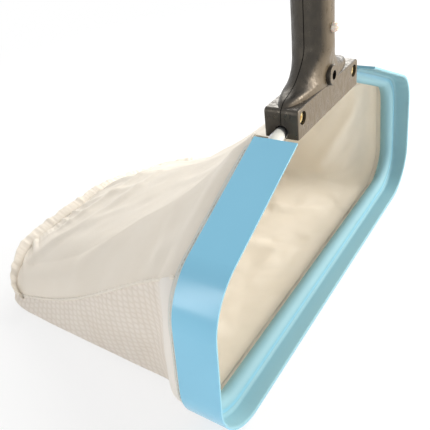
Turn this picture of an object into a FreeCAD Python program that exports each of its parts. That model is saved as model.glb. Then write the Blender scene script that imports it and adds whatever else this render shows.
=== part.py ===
import FreeCAD, Part
import math
import os
import re
import Sketcher

# Leaf skimmer net: a deep net bag on a bent rod hoop, with a scraping strip and a clamp handle.
# +X runs to the right seen from the mouth, +Y runs back into the bag and +Z runs up.
# The origin lies on the floor, straight under the axis of the pole spigot.
# The hoop, the clamp's parting plane and the spigot's axis all lie in the plane Y = 0.

DOC = FreeCAD.newDocument("leaf_skimmer")
SHEET = DOC.addObject("Spreadsheet::Sheet", "sizes")

SIZES = (
    # Hoop rod, measured to its centreline. Corner points are where the straight runs would meet.
    ("rod_radius", 4.0, "aluminium hoop rod"),
    ("rod_corner_half", 183.0, "bottom corner of the hoop from the middle"),
    ("rod_shoulder_half", 170.9, "shoulder corner of the hoop from the middle"),
    ("rod_shoulder_height", 115.1, "shoulder corner above the floor"),
    ("rod_top", 162.6, "level run of the rod inside the clamp"),
    ("rod_bend_reach", 10.3, "from the clamp's end to the bend into the slope"),
    ("rod_corner_radius", 32.2, "bend at the bottom corners"),
    ("rod_shoulder_radius", 39.2, "bend at the shoulders"),
    ("rod_bend_radius", 20.0, "bend beside the clamp"),
    ("rod_end_gap", 1.0, "between the two ends of the rod, inside the ferrule"),
    ("fit_gap", 0.1, "clearance of a piece that is gripped or seated"),
    ("overrun", 1.0, "how far a cut runs past the face that it starts from"),
    # Ferrule that joins the rod's ends
    ("ferrule_wall", 0.6, "steel ferrule tube"),
    ("ferrule_half", 20.0, "half the ferrule's length"),
    # Scraping strip
    ("strip_wall", 1.5, "wall of the strip round the rod"),
    ("strip_front", 20.3, "front lip in front of the rod's plane"),
    ("strip_back", 10.5, "rear edge behind the rod's plane"),
    ("strip_lip", 2.2, "thickness of the front lip"),
    ("strip_lip_edge", 1.3, "thickness of the front lip at its rounded edge"),
    ("strip_fillet", 2.6, "from the lip up into the rounded grip"),
    ("strip_hook_drop", 1.7, "end of the grip's hook above the rod's centre"),
    ("strip_cut_reach", 4.6, "from the rod's bend to the strip's cut end, along the slope in X"),
    # Rim hem, a sewn sleeve round the rod
    ("hem_cloth", 0.7, "thickness of the sleeve"),
    ("hem_depth", 14.0, "from the rod's plane to the hem's stitched edge"),
    ("hem_tail", 1.4, "two layers of cloth behind the sleeve"),
    ("hem_drop", 20.0, "hem under the clamp, downwards"),
    ("hem_overlap", 4.5, "sleeve past the clamp's end"),
    ("hem_ferrule_gap", 2.0, "sleeve's end beside the ferrule"),
    ("apron_rise", 2.2, "thickness of the hem under the clamp, measured upwards"),
    # Clamp block
    ("block_half", 52.5, "half the clamp's length"),
    ("block_depth_half", 12.3, "half the clamp's thickness"),
    ("block_below", 4.1, "clamp's underside below the rod's centre"),
    ("block_height", 20.2, "clamp block's height"),
    ("block_round", 3.0, "rounding at the clamp's top corners"),
    ("block_edge", 1.2, "rounding along the clamp's front and back edges"),
    # Flare from the block into the spigot: heights above the block's top, half widths and half depths
    ("flare_sunk", 0.7, "flare starts below the block's top"),
    ("flare_half_1", 50.8, "half width where the flare starts"),
    ("flare_inset_1", 0.2, "flare's start inside the block's faces"),
    ("flare_rise_2", 3.3, "second section, above the block's top"),
    ("flare_half_2", 46.5, "second section's half width"),
    ("flare_rise_3", 6.3, "third section"),
    ("flare_half_3", 36.0, "third section's half width"),
    ("flare_rise_4", 10.8, "fourth section"),
    ("flare_half_4", 27.5, "fourth section's half width"),
    ("flare_bulge_4", 0.1, "fourth section's depth beyond the block's"),
    ("flare_rise_5", 18.3, "fifth section"),
    ("flare_half_5", 19.5, "fifth section's half width"),
    ("flare_bulge_5", 1.1, "fifth section's depth beyond the block's"),
    ("flare_rise", 29.3, "top of the flare above the block's top"),
    # Spigot that goes into the pole
    ("spigot_radius", 14.3, "outside of the spigot"),
    ("spigot_bore", 10.5, "inside of the spigot"),
    ("spigot_length", 82.0, "spigot above the flare"),
    ("spigot_foot", 18.0, "foot of the spigot that swells and holds the pole snug"),
    ("spigot_swell", 0.15, "how much wider the foot is at the flare"),
    ("spigot_chamfer", 1.2, "lead-in at the spigot's top"),
    ("bore_floor", 8.0, "solid depth left below the bore, under the flare's top"),
    # Hollows in the two halves of the clamp
    ("core_depth", 8.0, "depth of each hollow from the parting plane"),
    ("core_inner", 9.5, "hollow's near side from the middle"),
    ("core_outer", 35.0, "hollow's far side from the middle"),
    ("core_wall", 3.0, "wall over the rod and under the block's top"),
    ("core_rise", 7.3, "hollow's highest corner above the block's top"),
    # Clamp screws and nuts
    ("screw_inset", 7.7, "end screws from the clamp's ends"),
    ("screw_drop", 7.4, "end screws below the block's top"),
    ("screw_radius", 2.0, "end screw's shank"),
    ("screw_head_radius", 3.6, "end screw's head"),
    ("screw_head_height", 2.3, "end screw's head height"),
    ("screw_seat_radius", 4.6, "counterbore for the head"),
    ("screw_seat_depth", 4.2, "counterbore below the front face"),
    ("nut_half_flats", 3.5, "half of the nut's width across flats"),
    ("nut_height", 3.2, "nut's height"),
    ("nut_sunk", 0.9, "nut below the rear face"),
    ("recess_width", 1.1, "slot of the cross recess"),
    ("recess_length", 4.0, "length of the cross recess"),
    ("recess_depth", 1.3, "depth of the cross recess"),
    # Centre boss
    ("boss_rise", 5.5, "centre boss above the block's top"),
    ("boss_radius", 7.1, "outside of the raised ring"),
    ("boss_proud", 3.0, "ring stands in front of the clamp's face"),
    ("boss_root", 2.0, "ring starts inside the clamp's face"),
    ("boss_edge", 0.9, "rounding of the ring's front edges"),
    ("boss_bore", 3.25, "hole in the ring"),
    ("boss_bore_depth", 9.8, "hole's depth from the ring's face"),
    ("centre_radius", 1.6, "centre screw's shank"),
    ("centre_head_radius", 2.9, "centre screw's head"),
    ("centre_head_height", 2.0, "centre screw's head height"),
    ("centre_nut_half_flats", 2.75, "half of the centre nut's width across flats"),
    # Spring clip and its button
    ("button_rise", 8.7, "button above the flare"),
    ("button_radius", 3.15, "button's round stem and dome"),
    ("button_out", 4.3, "button's tip in front of the spigot"),
    ("button_flange_radius", 4.2, "flange that stops the button inside the bore"),
    ("button_flange", 1.0, "flange's thickness"),
    ("button_stop", 1.0, "flange behind the bore's front wall"),
    ("button_stub_radius", 1.2, "stub that rides in the spring's hole"),
    ("button_stub", 1.2, "stub's length"),
    ("spring_strip", 0.6, "spring strip's thickness"),
    ("spring_width", 6.0, "spring strip's width"),
    ("spring_apex_drop", 17.0, "fold of the spring below the button"),
    ("spring_knee_drop", 6.0, "knee of the front leg below the button"),
    ("spring_front_rise", 8.0, "front leg's end above the button"),
    ("spring_back_rise", 19.0, "rear leg's end above the button"),
    ("spring_fold_radius", 3.0, "fold's radius"),
    # Net bag: stations behind the hoop, each with its outline
    ("bag_wall", 1.2, "cloth wall of the bag"),
    ("bag_belly", 0.03, "bulge of the lower side, as a share of its height"),
    ("bag_hip", 0.06, "bulge of the upper side, as a share of its height"),
    ("bag_trim_over", 5.0, "trimming solid runs past the bag's two ends"),
    ("bag_shoulder_inset", 0.8, "bag's shoulder inside the hoop's shoulder corner"),
    ("bag_mouth_corner", 37.0, "bottom corner's rounding at the mouth"),
    ("bag_mouth_sag", 19.0, "top cloth at the clamp below the slopes"),
    ("bag_depth_1", 50.0, "first station"),
    ("bag_depth_2", 95.0, "second station"),
    ("bag_depth_3", 140.0, "third station"),
    ("bag_depth_4", 190.0, "fourth station"),
    ("bag_depth_5", 226.0, "fifth station"),
    ("bag_depth_6", 251.0, "closed end"),
    ("bag_side_1", 160.0, "half width near the floor"),
    ("bag_side_2", 158.5, "half width near the floor"),
    ("bag_side_3", 158.0, "half width near the floor"),
    ("bag_side_4", 156.5, "half width near the floor"),
    ("bag_side_5", 152.0, "half width near the floor"),
    ("bag_side_6", 104.0, "half width at the closed end"),
    ("bag_corner_1", 12.0, "rounding from the floor into the side"),
    ("bag_corner_2", 9.0, "rounding from the floor into the side"),
    ("bag_corner_3", 9.0, "rounding from the floor into the side"),
    ("bag_corner_4", 8.0, "rounding from the floor into the side"),
    ("bag_corner_5", 5.0, "rounding from the floor into the side"),
    ("bag_corner_6", 0.6, "rounding from the floor into the side"),
    ("seam_half_1", 159.0, "side seam from the middle"),
    ("seam_half_2", 155.0, "side seam from the middle"),
    ("seam_half_3", 151.5, "side seam from the middle"),
    ("seam_half_4", 149.0, "side seam from the middle"),
    ("seam_half_5", 148.0, "side seam from the middle"),
    ("seam_half_6", 105.0, "side seam from the middle"),
    ("seam_height_1", 99.0, "side seam above the floor"),
    ("seam_height_2", 70.0, "side seam above the floor"),
    ("seam_height_3", 43.0, "side seam above the floor"),
    ("seam_height_4", 22.0, "side seam above the floor"),
    ("seam_height_5", 14.0, "side seam above the floor"),
    ("seam_height_6", 30.0, "side seam above the floor"),
    ("ridge_half_1", 95.0, "fold between side and top"),
    ("ridge_half_2", 105.0, "fold between side and top"),
    ("ridge_half_3", 122.0, "fold between side and top"),
    ("ridge_half_4", 130.0, "fold between side and top"),
    ("ridge_half_5", 130.0, "fold between side and top"),
    ("ridge_half_6", 102.0, "fold between side and top"),
    ("ridge_height_1", 131.0, "fold above the floor"),
    ("ridge_height_2", 101.0, "fold above the floor"),
    ("ridge_height_3", 73.0, "fold above the floor"),
    ("ridge_height_4", 50.0, "fold above the floor"),
    ("ridge_height_5", 35.0, "fold above the floor"),
    ("ridge_height_6", 31.7, "fold above the floor"),
    ("crown_1", 127.0, "top cloth in the middle"),
    ("crown_2", 99.0, "top cloth in the middle"),
    ("crown_3", 81.0, "top cloth in the middle"),
    ("crown_4", 62.0, "top cloth in the middle"),
    ("crown_5", 47.0, "top cloth in the middle"),
    ("crown_6", 33.2, "top cloth in the middle"),
    ("bag_lift", 0.4, "floor cloth just clears the floor"),
    ("bag_lift_5", 3.0, "floor cloth lifts towards the closed end"),
    ("bag_lift_6", 27.8, "floor cloth at the closed end"),
    ("bag_fall", 0.25, "share of the top cloth's fall that is reached half way"),
    # The right side of the bag slumps: its own places from the second station on
    ("right_bag_side_2", 156.0, "half width near the floor"),
    ("right_bag_side_3", 151.0, "half width near the floor"),
    ("right_bag_side_4", 140.0, "half width near the floor"),
    ("right_bag_side_5", 120.0, "half width near the floor"),
    ("right_bag_side_6", 88.0, "half width near the floor"),
    ("right_seam_half_2", 152.0, "side seam from the middle"),
    ("right_seam_half_3", 149.0, "side seam from the middle"),
    ("right_seam_half_4", 140.5, "side seam from the middle"),
    ("right_seam_half_5", 120.5, "side seam from the middle"),
    ("right_seam_half_6", 88.5, "side seam from the middle"),
    ("right_seam_height_2", 62.0, "side seam above the floor"),
    ("right_seam_height_3", 34.0, "side seam above the floor"),
    ("right_seam_height_4", 14.0, "side seam above the floor"),
    ("right_seam_height_5", 8.5, "side seam above the floor"),
    ("right_seam_height_6", 8.6, "side seam above the floor"),
    ("right_ridge_half_2", 105.0, "fold between side and top"),
    ("right_ridge_half_3", 120.0, "fold between side and top"),
    ("right_ridge_half_4", 122.0, "fold between side and top"),
    ("right_ridge_half_5", 106.0, "fold between side and top"),
    ("right_ridge_half_6", 85.0, "fold between side and top"),
    ("right_ridge_height_2", 85.0, "fold above the floor"),
    ("right_ridge_height_3", 50.0, "fold above the floor"),
    ("right_ridge_height_4", 21.0, "fold above the floor"),
    ("right_ridge_height_5", 12.5, "fold above the floor"),
    ("right_ridge_height_6", 10.6, "fold above the floor"),
    ("right_bag_lift_5", 1.0, "floor cloth above the floor"),
    ("right_bag_lift_6", 6.0, "floor cloth above the floor"),
    ("right_bag_fall_2", 0.43, "share of the top cloth's fall that is reached half way"),
    ("right_bag_fall_3", 0.6, "share of the top cloth's fall that is reached half way"),
    ("right_bag_fall_4", 0.43, "share of the top cloth's fall that is reached half way"),
    ("right_bag_fall_5", 0.35, "share of the top cloth's fall that is reached half way"),
    ("right_bag_fall_6", 0.42, "share of the top cloth's fall that is reached half way"),
    ("seam_tape", 1.4, "folded side seams stand out from the cloth"),
    ("seam_tape_half", 2.2, "half the side seams' width"),
    # Gathered seam round the closed end: places along its sewn line, from left to right
    ("tail_across_1", -145.0, "place 1 of the sewn line, to the right"),
    ("tail_depth_1", 223.0, "place 1 of the sewn line, behind the hoop"),
    ("tail_height_1", 13.0, "place 1 of the sewn line, above the floor"),
    ("tail_across_2", -128.0, "place 2 of the sewn line, to the right"),
    ("tail_depth_2", 236.0, "place 2 of the sewn line, behind the hoop"),
    ("tail_height_2", 24.0, "place 2 of the sewn line, above the floor"),
    ("tail_across_3", -100.0, "place 3 of the sewn line, to the right"),
    ("tail_depth_3", 249.0, "place 3 of the sewn line, behind the hoop"),
    ("tail_height_3", 31.0, "place 3 of the sewn line, above the floor"),
    ("tail_across_4", -50.0, "place 4 of the sewn line, to the right"),
    ("tail_depth_4", 251.0, "place 4 of the sewn line, behind the hoop"),
    ("tail_height_4", 32.5, "place 4 of the sewn line, above the floor"),
    ("tail_across_5", 0.0, "place 5 of the sewn line, to the right"),
    ("tail_depth_5", 251.0, "place 5 of the sewn line, behind the hoop"),
    ("tail_height_5", 32.0, "place 5 of the sewn line, above the floor"),
    ("tail_across_6", 50.0, "place 6 of the sewn line, to the right"),
    ("tail_depth_6", 250.5, "place 6 of the sewn line, behind the hoop"),
    ("tail_height_6", 20.5, "place 6 of the sewn line, above the floor"),
    ("tail_across_7", 86.0, "place 7 of the sewn line, to the right"),
    ("tail_depth_7", 247.0, "place 7 of the sewn line, behind the hoop"),
    ("tail_height_7", 10.0, "place 7 of the sewn line, above the floor"),
    ("tail_across_8", 110.0, "place 8 of the sewn line, to the right"),
    ("tail_depth_8", 232.0, "place 8 of the sewn line, behind the hoop"),
    ("tail_height_8", 8.5, "place 8 of the sewn line, above the floor"),
    ("tail_sunk", 3.0, "gathered seam starts inside the bag"),
    ("tail_reach", 8.0, "gathered seam's reach behind its sewn line"),
    ("tail_rise", 4.5, "gathered seam's rise over that reach"),
    ("tail_thick", 3.0, "thickness of the gathered seam"),
)

for row, (alias, value, meaning) in enumerate(SIZES, start=1):
    SHEET.set(f"A{row}", meaning)
    SHEET.set(f"B{row}", str(value))
    SHEET.setAlias(f"B{row}", alias)
DOC.recompute()

ALIASES = {alias for alias, value, meaning in SIZES}

# Shares of a radius: a quarter arc's middle lies this far in from its corner, or out from its centre
ARC_IN = "(1 - sqrt(0.5))"
ARC_OUT = "sqrt(0.5)"

# Places that several pieces share, written in the sheet's own names
ROD_BOTTOM = "(strip_wall + hem_cloth + 2 * fit_gap + rod_radius)"
SLEEVE_RADIUS = "(rod_radius + fit_gap + hem_cloth)"
GRIP_BORE = "(rod_radius + 2 * fit_gap + hem_cloth)"
GRIP_RADIUS = "(rod_radius + 2 * fit_gap + hem_cloth + strip_wall)"
ROD_BEND = "(block_half + rod_bend_reach)"
SLOPE_RUN = "(rod_shoulder_half - block_half - rod_bend_reach)"
SLOPE_RISE = "(rod_top - rod_shoulder_height)"
SLOPE_LENGTH = f"sqrt({SLOPE_RUN} ^ 2 + {SLOPE_RISE} ^ 2)"
CUT_HALF = "(block_half + rod_bend_reach + strip_cut_reach)"
CUT_HEIGHT = f"(rod_top - strip_cut_reach * {SLOPE_RISE} / {SLOPE_RUN})"
SIDE_LEAN = f"((rod_corner_half - rod_shoulder_half) / (rod_shoulder_height - {ROD_BOTTOM}))"
BLOCK_BOTTOM = "(rod_top - block_below)"
BLOCK_TOP = "(rod_top - block_below + block_height)"
FLARE_TOP = f"({BLOCK_TOP} + flare_rise)"
SPIGOT_TOP = f"({FLARE_TOP} + spigot_length)"
FOOT_TOP = f"({FLARE_TOP} + spigot_foot)"
SCREW_HALF = "(block_half - screw_inset)"
SCREW_HEIGHT = f"({BLOCK_TOP} - screw_drop)"
BOSS_HEIGHT = f"({BLOCK_TOP} + boss_rise)"
BUTTON_HEIGHT = f"({FLARE_TOP} + button_rise)"
FLANGE_FRONT = "(spigot_bore - button_stop)"
STUB_END = "(spigot_bore - button_stop - button_flange - button_stub)"
LEG_PLACE = "(spigot_bore - button_stop - button_flange - fit_gap - spring_strip / 2)"


def named(text):
    """Put the sheet's name before each of its aliases in an expression."""
    return re.sub(r"[a-z]\w*", lambda word: f"sizes.{word[0]}" if word[0] in ALIASES else word[0], text)


def number(text):
    """The present value of an expression."""
    return float(SHEET.evalExpression(text))


def bind(item, path, text):
    """Tie one property of a feature to an expression of the sheet."""
    item.setExpression(path, named(text))


def new_body(label):
    """A body whose label names its file."""
    body = DOC.addObject("PartDesign::Body", label)
    body.Label = label
    return body


def origin_plane(body, role):
    """One of the body's own origin planes."""
    return next(item for item in body.Origin.OriginFeatures if item.Role == role)


def sketch_on(body, role, label, offset=None):
    """A sketch on one of the body's origin planes, moved along the plane's normal."""
    sketch = body.newObject("Sketcher::SketchObject", f"{body.Name}_{label}")
    sketch.AttachmentSupport = [(origin_plane(body, role), "")]
    sketch.MapMode = "FlatFace"
    if offset is not None:
        bind(sketch, "AttachmentOffset.Base.z", offset)
    DOC.recompute()
    return sketch


def pin(sketch, item, end, place):
    """Hold one point of a sketch at a place given by two expressions."""
    for kind, axis, text in zip(("DistanceX", "DistanceY"), (-2, -1), place):
        if text == "0":
            sketch.addConstraint(Sketcher.Constraint("PointOnObject", item, end, axis))
        else:
            held = sketch.addConstraint(Sketcher.Constraint(kind, -1, 1, item, end, number(text)))
            bind(sketch, f"Constraints[{held}]", text)


def spot(place):
    """The present place of a point given by two expressions."""
    return FreeCAD.Vector(number(place[0]), number(place[1]), 0)


def ends_along(sketch, item, start):
    """The end numbers of a line or arc, the one at the start first."""
    if sketch.getPoint(item, 1).distanceToPoint(start) < sketch.getPoint(item, 2).distanceToPoint(start):
        return 1, 2
    return 2, 1


def outline(sketch, start, steps):
    """A closed outline. A step is the next corner, or a point to arc through and the next corner."""
    corners = [start] + [step[-1] for step in steps[:-1]]
    items = []
    for index, step in enumerate(steps):
        first = spot(corners[index])
        last = spot(corners[(index + 1) % len(corners)])
        if len(step) == 1:
            item = sketch.addGeometry(Part.LineSegment(first, last))
        else:
            item = sketch.addGeometry(Part.Arc(first, spot(step[0]), last))
            through = sketch.addGeometry(Part.Point(spot(step[0])), True)
            pin(sketch, through, 1, step[0])
        items.append((item, ends_along(sketch, item, first)))
    for index, (item, (first, last)) in enumerate(items):
        after, (after_first, after_last) = items[(index + 1) % len(items)]
        sketch.addConstraint(Sketcher.Constraint("Coincident", item, last, after, after_first))
    for (item, (first, last)), corner in zip(items, corners):
        pin(sketch, item, first, corner)
    for index, step in enumerate(steps):
        if len(step) == 2:
            item = items[index][0]
            sketch.addConstraint(Sketcher.Constraint("PointOnObject", item + 1, 1, item))
    return sketch


def rectangle(sketch, low, high):
    """A closed rectangle between two corners."""
    steps = (((high[0], low[1]),), (high,), ((low[0], high[1]),), (low,))
    return outline(sketch, low, steps)


def circle(sketch, centre, radius):
    """A circle with its centre and radius tied to the sheet."""
    item = sketch.addGeometry(Part.Circle(spot(centre), FreeCAD.Vector(0, 0, 1), number(radius)))
    pin(sketch, item, 3, centre)
    held = sketch.addConstraint(Sketcher.Constraint("Radius", item, number(radius)))
    bind(sketch, f"Constraints[{held}]", radius)
    return sketch


def ellipse(sketch, half_width, half_depth):
    """An ellipse round the sketch's origin, wide along the sketch's X."""
    wide = number(half_width)
    deep = number(half_depth)
    item = sketch.addGeometry(Part.Ellipse(FreeCAD.Vector(0, 0, 0), wide, deep))
    sketch.exposeInternalGeometry(item)
    sketch.addConstraint(Sketcher.Constraint("Coincident", item, 3, -1, 1))
    sketch.addConstraint(Sketcher.Constraint("Horizontal", item + 1))
    for line, length, text in ((item + 1, 2 * wide, half_width), (item + 2, 2 * deep, half_depth)):
        held = sketch.addConstraint(Sketcher.Constraint("Distance", line, length))
        bind(sketch, f"Constraints[{held}]", f"2 * ({text})")
    return sketch


def bent_path(sketch, corners, radii):
    """An open path of straight runs through the corners, with a tangent arc at each inner one."""
    places = [spot(corner) for corner in corners]
    runs = [(place, after) for place, after in zip(places, places[1:])]
    marks = []
    for corner in corners[1:-1]:
        mark = sketch.addGeometry(Part.Point(spot(corner)), True)
        pin(sketch, mark, 1, corner)
        marks.append(mark)
    trims = []
    for index, radius in enumerate(radii):
        before = (places[index] - places[index + 1]).normalize()
        after = (places[index + 2] - places[index + 1]).normalize()
        half = before.getAngle(after) / 2
        reach = number(radius) / math.tan(half)
        middle = (before + after).normalize()
        depth = number(radius) * (1 / math.sin(half) - 1)
        corner = places[index + 1]
        trims.append((corner + before * reach, corner + middle * depth, corner + after * reach))
    lines = []
    for index, (place, after) in enumerate(runs):
        start = place if index == 0 else trims[index - 1][2]
        end = after if index == len(runs) - 1 else trims[index][0]
        lines.append(sketch.addGeometry(Part.LineSegment(start, end)))
    for index, (start, middle, end) in enumerate(trims):
        arc = sketch.addGeometry(Part.Arc(start, middle, end))
        first, last = ends_along(sketch, arc, start)
        sketch.addConstraint(Sketcher.Constraint("Tangent", lines[index], 2, arc, first))
        sketch.addConstraint(Sketcher.Constraint("Tangent", arc, last, lines[index + 1], 1))
        held = sketch.addConstraint(Sketcher.Constraint("Radius", arc, number(radii[index])))
        bind(sketch, f"Constraints[{held}]", radii[index])
        sketch.addConstraint(Sketcher.Constraint("PointOnObject", marks[index], 1, lines[index]))
        sketch.addConstraint(Sketcher.Constraint("PointOnObject", marks[index], 1, lines[index + 1]))
    pin(sketch, lines[0], 1, corners[0])
    pin(sketch, lines[-1], 2, corners[-1])
    return sketch


def feature(body, kind, label, sketch, **settings):
    """A feature made from one sketch, with its plain settings."""
    item = body.newObject(f"PartDesign::{kind}", f"{body.Name}_{label}")
    item.Profile = sketch
    for name, value in settings.items():
        setattr(item, name, value)
    return item


def pad(body, label, sketch, length, **settings):
    """A pad along the sketch's normal."""
    item = feature(body, "Pad", label, sketch, **settings)
    bind(item, "Length", length)
    DOC.recompute()
    return item


def pocket(body, label, sketch, length, **settings):
    """A pocket against the sketch's normal, or along it when reversed."""
    item = feature(body, "Pocket", label, sketch, **settings)
    bind(item, "Length", length)
    DOC.recompute()
    return item


def pipe(body, label, sketch, spine):
    """A sweep of a sketch along a path."""
    item = feature(body, "AdditivePipe", label, sketch)
    item.Spine = (spine, [])
    DOC.recompute()
    return item


def mirrored(body, label, originals, role):
    """A mirror image of features across an origin plane, kept as the body's tip."""
    item = body.newObject("PartDesign::Mirrored", f"{body.Name}_{label}")
    item.Originals = originals
    item.MirrorPlane = (origin_plane(body, role), [""])
    body.Tip = item
    DOC.recompute()
    return item


# Hoop rod, swept from the middle of its bottom run and mirrored
def hoop_corners(end):
    """Corners of half of the hoop's centreline, from the middle of the bottom run."""
    return (
        ("0", ROD_BOTTOM),
        ("rod_corner_half", ROD_BOTTOM),
        ("rod_shoulder_half", "rod_shoulder_height"),
    ) + end


def make_frame_rod():
    body = new_body("frame_rod")
    path = sketch_on(body, "XZ_Plane", "path")
    ends = ((ROD_BEND, "rod_top"), ("rod_end_gap / 2", "rod_top"))
    bent_path(path, hoop_corners(ends), ("rod_corner_radius", "rod_shoulder_radius", "rod_bend_radius"))
    section = circle(sketch_on(body, "YZ_Plane", "section"), ("0", ROD_BOTTOM), "rod_radius")
    half = pipe(body, "half", section, path)
    mirrored(body, "whole", [half], "YZ_Plane")
    return body


def make_rod_ferrule():
    body = new_body("rod_ferrule")
    outside = sketch_on(body, "YZ_Plane", "outside")
    circle(outside, ("0", "rod_top"), "rod_radius + fit_gap + ferrule_wall")
    pad(body, "tube", outside, "2 * ferrule_half", Midplane=True)
    inside = circle(sketch_on(body, "YZ_Plane", "inside"), ("0", "rod_top"), "rod_radius + fit_gap")
    pocket(body, "bore", inside, "3 * ferrule_half", Midplane=True)
    return body


# Scraping strip, one extrusion that grips the hem and the rod
def make_edge_strip():
    body = new_body("edge_strip")
    path = sketch_on(body, "XZ_Plane", "path")
    bent_path(path, hoop_corners(((CUT_HALF, CUT_HEIGHT),)), ("rod_corner_radius", "rod_shoulder_radius"))
    section = sketch_on(body, "YZ_Plane", "section")
    hook_inner = (f"sqrt({GRIP_BORE} ^ 2 - strip_hook_drop ^ 2)", f"{ROD_BOTTOM} + strip_hook_drop")
    hook_outer = (f"sqrt({GRIP_RADIUS} ^ 2 - strip_hook_drop ^ 2)", f"{ROD_BOTTOM} + strip_hook_drop")
    lip_root = f"-({GRIP_RADIUS} + strip_fillet)"
    fillet_middle = (f"-({GRIP_RADIUS} + {ARC_IN} * strip_fillet)", f"strip_lip + {ARC_IN} * strip_fillet")
    edge_middle = (f"-(strip_front - {ARC_IN} * strip_lip_edge)", f"strip_lip - {ARC_IN} * strip_lip_edge")
    outline(section, ("-strip_front", "0"), (
        (("strip_back", "0"),),
        (("strip_back", "strip_wall"),),
        (("0", "strip_wall"),),
        ((f"-{GRIP_BORE}", ROD_BOTTOM), hook_inner),
        (hook_outer,),
        (("0", f"{ROD_BOTTOM} + {GRIP_RADIUS}"), (f"-{GRIP_RADIUS}", ROD_BOTTOM)),
        ((f"-{GRIP_RADIUS}", "strip_lip + strip_fillet"),),
        (fillet_middle, (lip_root, "strip_lip")),
        (("-(strip_front - strip_lip_edge)", "strip_lip"),),
        (edge_middle, ("-strip_front", "strip_lip - strip_lip_edge")),
        (("-strip_front", "0"),),
    ))
    half = pipe(body, "half", section, path)
    mirrored(body, "whole", [half], "YZ_Plane")
    return body


# Rim hem, a sleeve round the rod with a doubled edge that runs out behind the strip
def make_rim_hem():
    body = new_body("rim_hem")
    path = sketch_on(body, "XZ_Plane", "path")
    corners = hoop_corners(((ROD_BEND, "rod_top"), ("block_half + hem_overlap", "rod_top")))
    bent_path(path, corners, ("rod_corner_radius", "rod_shoulder_radius", "rod_bend_radius"))
    section = sketch_on(body, "YZ_Plane", "section")
    low = f"({ROD_BOTTOM} - {SLEEVE_RADIUS})"
    tail_top = f"({low} + hem_tail)"
    tail_root = f"sqrt({SLEEVE_RADIUS} ^ 2 - ({SLEEVE_RADIUS} - hem_tail) ^ 2)"
    outline(section, ("0", low), (
        (("hem_depth", low),),
        (("hem_depth", tail_top),),
        ((tail_root, tail_top),),
        ((f"-{SLEEVE_RADIUS}", ROD_BOTTOM), ("0", low)),
    ))
    circle(section, ("0", ROD_BOTTOM), "rod_radius + fit_gap")
    half = pipe(body, "half", section, path)
    mirrored(body, "whole", [half], "YZ_Plane")
    clear = sketch_on(body, "XZ_Plane", "clear", f"-{SLEEVE_RADIUS}")
    high = f"rod_top + {SLEEVE_RADIUS} + overrun"
    rectangle(clear, (f"-{CUT_HALF}", "rod_top - rod_radius"), (CUT_HALF, high))
    pocket(body, "clear_cut", clear, "hem_depth")
    under = sketch_on(body, "YZ_Plane", "under")
    underside = f"(rod_top - {SLEEVE_RADIUS})"
    outline(under, ("0", f"{underside} - fit_gap"), (
        (("hem_depth", f"{underside} - hem_drop"),),
        (("hem_depth", f"{underside} - hem_drop + apron_rise"),),
        (("hem_tail", f"{underside} - fit_gap"),),
        (("0", f"{underside} - fit_gap"),),
    ))
    pad(body, "apron", under, "2 * (block_half + hem_overlap)", Midplane=True)
    inner_end = "ferrule_half + hem_ferrule_gap"
    reach = f"block_half + hem_overlap - ({inner_end})"
    ring = sketch_on(body, "YZ_Plane", "ring", inner_end)
    circle(ring, ("0", "rod_top"), SLEEVE_RADIUS)
    circle(ring, ("0", "rod_top"), "rod_radius + fit_gap")
    sleeve = pad(body, "sleeve", ring, reach)
    foot = sketch_on(body, "YZ_Plane", "foot", inner_end)
    rectangle(foot, ("fit_gap", f"{underside} - hem_cloth"), ("hem_tail", f"{underside} + hem_cloth / 2"))
    stitching = pad(body, "stitching", foot, reach)
    mirrored(body, "sleeves", [sleeve, stitching], "YZ_Plane")
    return body


# Clamp handle: two halves that meet in the plane Y = 0, with the spigot split the same way
NEAR = 0.01


def edges_of(body, wanted):
    """Names of the body's edges whose middle passes a test."""
    found = []
    for index, edge in enumerate(body.Shape.Edges, start=1):
        middle = edge.valueAt((edge.FirstParameter + edge.LastParameter) / 2)
        if wanted(middle):
            found.append(f"Edge{index}")
    return found


def soften(body, kind, label, edges, prop, text):
    """A fillet or chamfer on named edges of the body's last feature."""
    item = body.newObject(f"PartDesign::{kind}", f"{body.Name}_{label}")
    item.Base = (item.BaseFeature, edges)
    bind(item, prop, text)
    DOC.recompute()
    return item


def hexagon(sketch, centre, half_flats):
    """A hexagon with two level flats."""
    across, up = centre
    corner = f"({half_flats}) * 2 / sqrt(3)"
    steps = (
        ((f"{across} + {corner} / 2", f"{up} + {half_flats}"),),
        ((f"{across} - {corner} / 2", f"{up} + {half_flats}"),),
        ((f"{across} - {corner}", up),),
        ((f"{across} - {corner} / 2", f"{up} - ({half_flats})"),),
        ((f"{across} + {corner} / 2", f"{up} - ({half_flats})"),),
        ((f"{across} + {corner}", up),),
    )
    return outline(sketch, (f"{across} + {corner}", up), steps)


def add_block(body):
    """The clamp's block with its rounded top corners and edges."""
    sketch = sketch_on(body, "XZ_Plane", "block")
    inner = "(block_half - block_round)"
    arc_half = f"(block_half - {ARC_IN} * block_round)"
    arc_top = f"{BLOCK_TOP} - {ARC_IN} * block_round"
    outline(sketch, ("-block_half", BLOCK_BOTTOM), (
        (("block_half", BLOCK_BOTTOM),),
        (("block_half", f"{BLOCK_TOP} - block_round"),),
        ((arc_half, arc_top), (inner, BLOCK_TOP)),
        ((f"-{inner}", BLOCK_TOP),),
        ((f"-{arc_half}", arc_top), ("-block_half", f"{BLOCK_TOP} - block_round")),
        (("-block_half", BLOCK_BOTTOM),),
    ))
    pad(body, "block_pad", sketch, "2 * block_depth_half", Midplane=True)
    face = number("block_depth_half")
    bottom = number(BLOCK_BOTTOM)
    edges = edges_of(body, lambda middle: abs(abs(middle.y) - face) < NEAR and middle.z > bottom + NEAR)
    soften(body, "Fillet", "block_edges", edges, "Radius", "block_edge")


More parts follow.
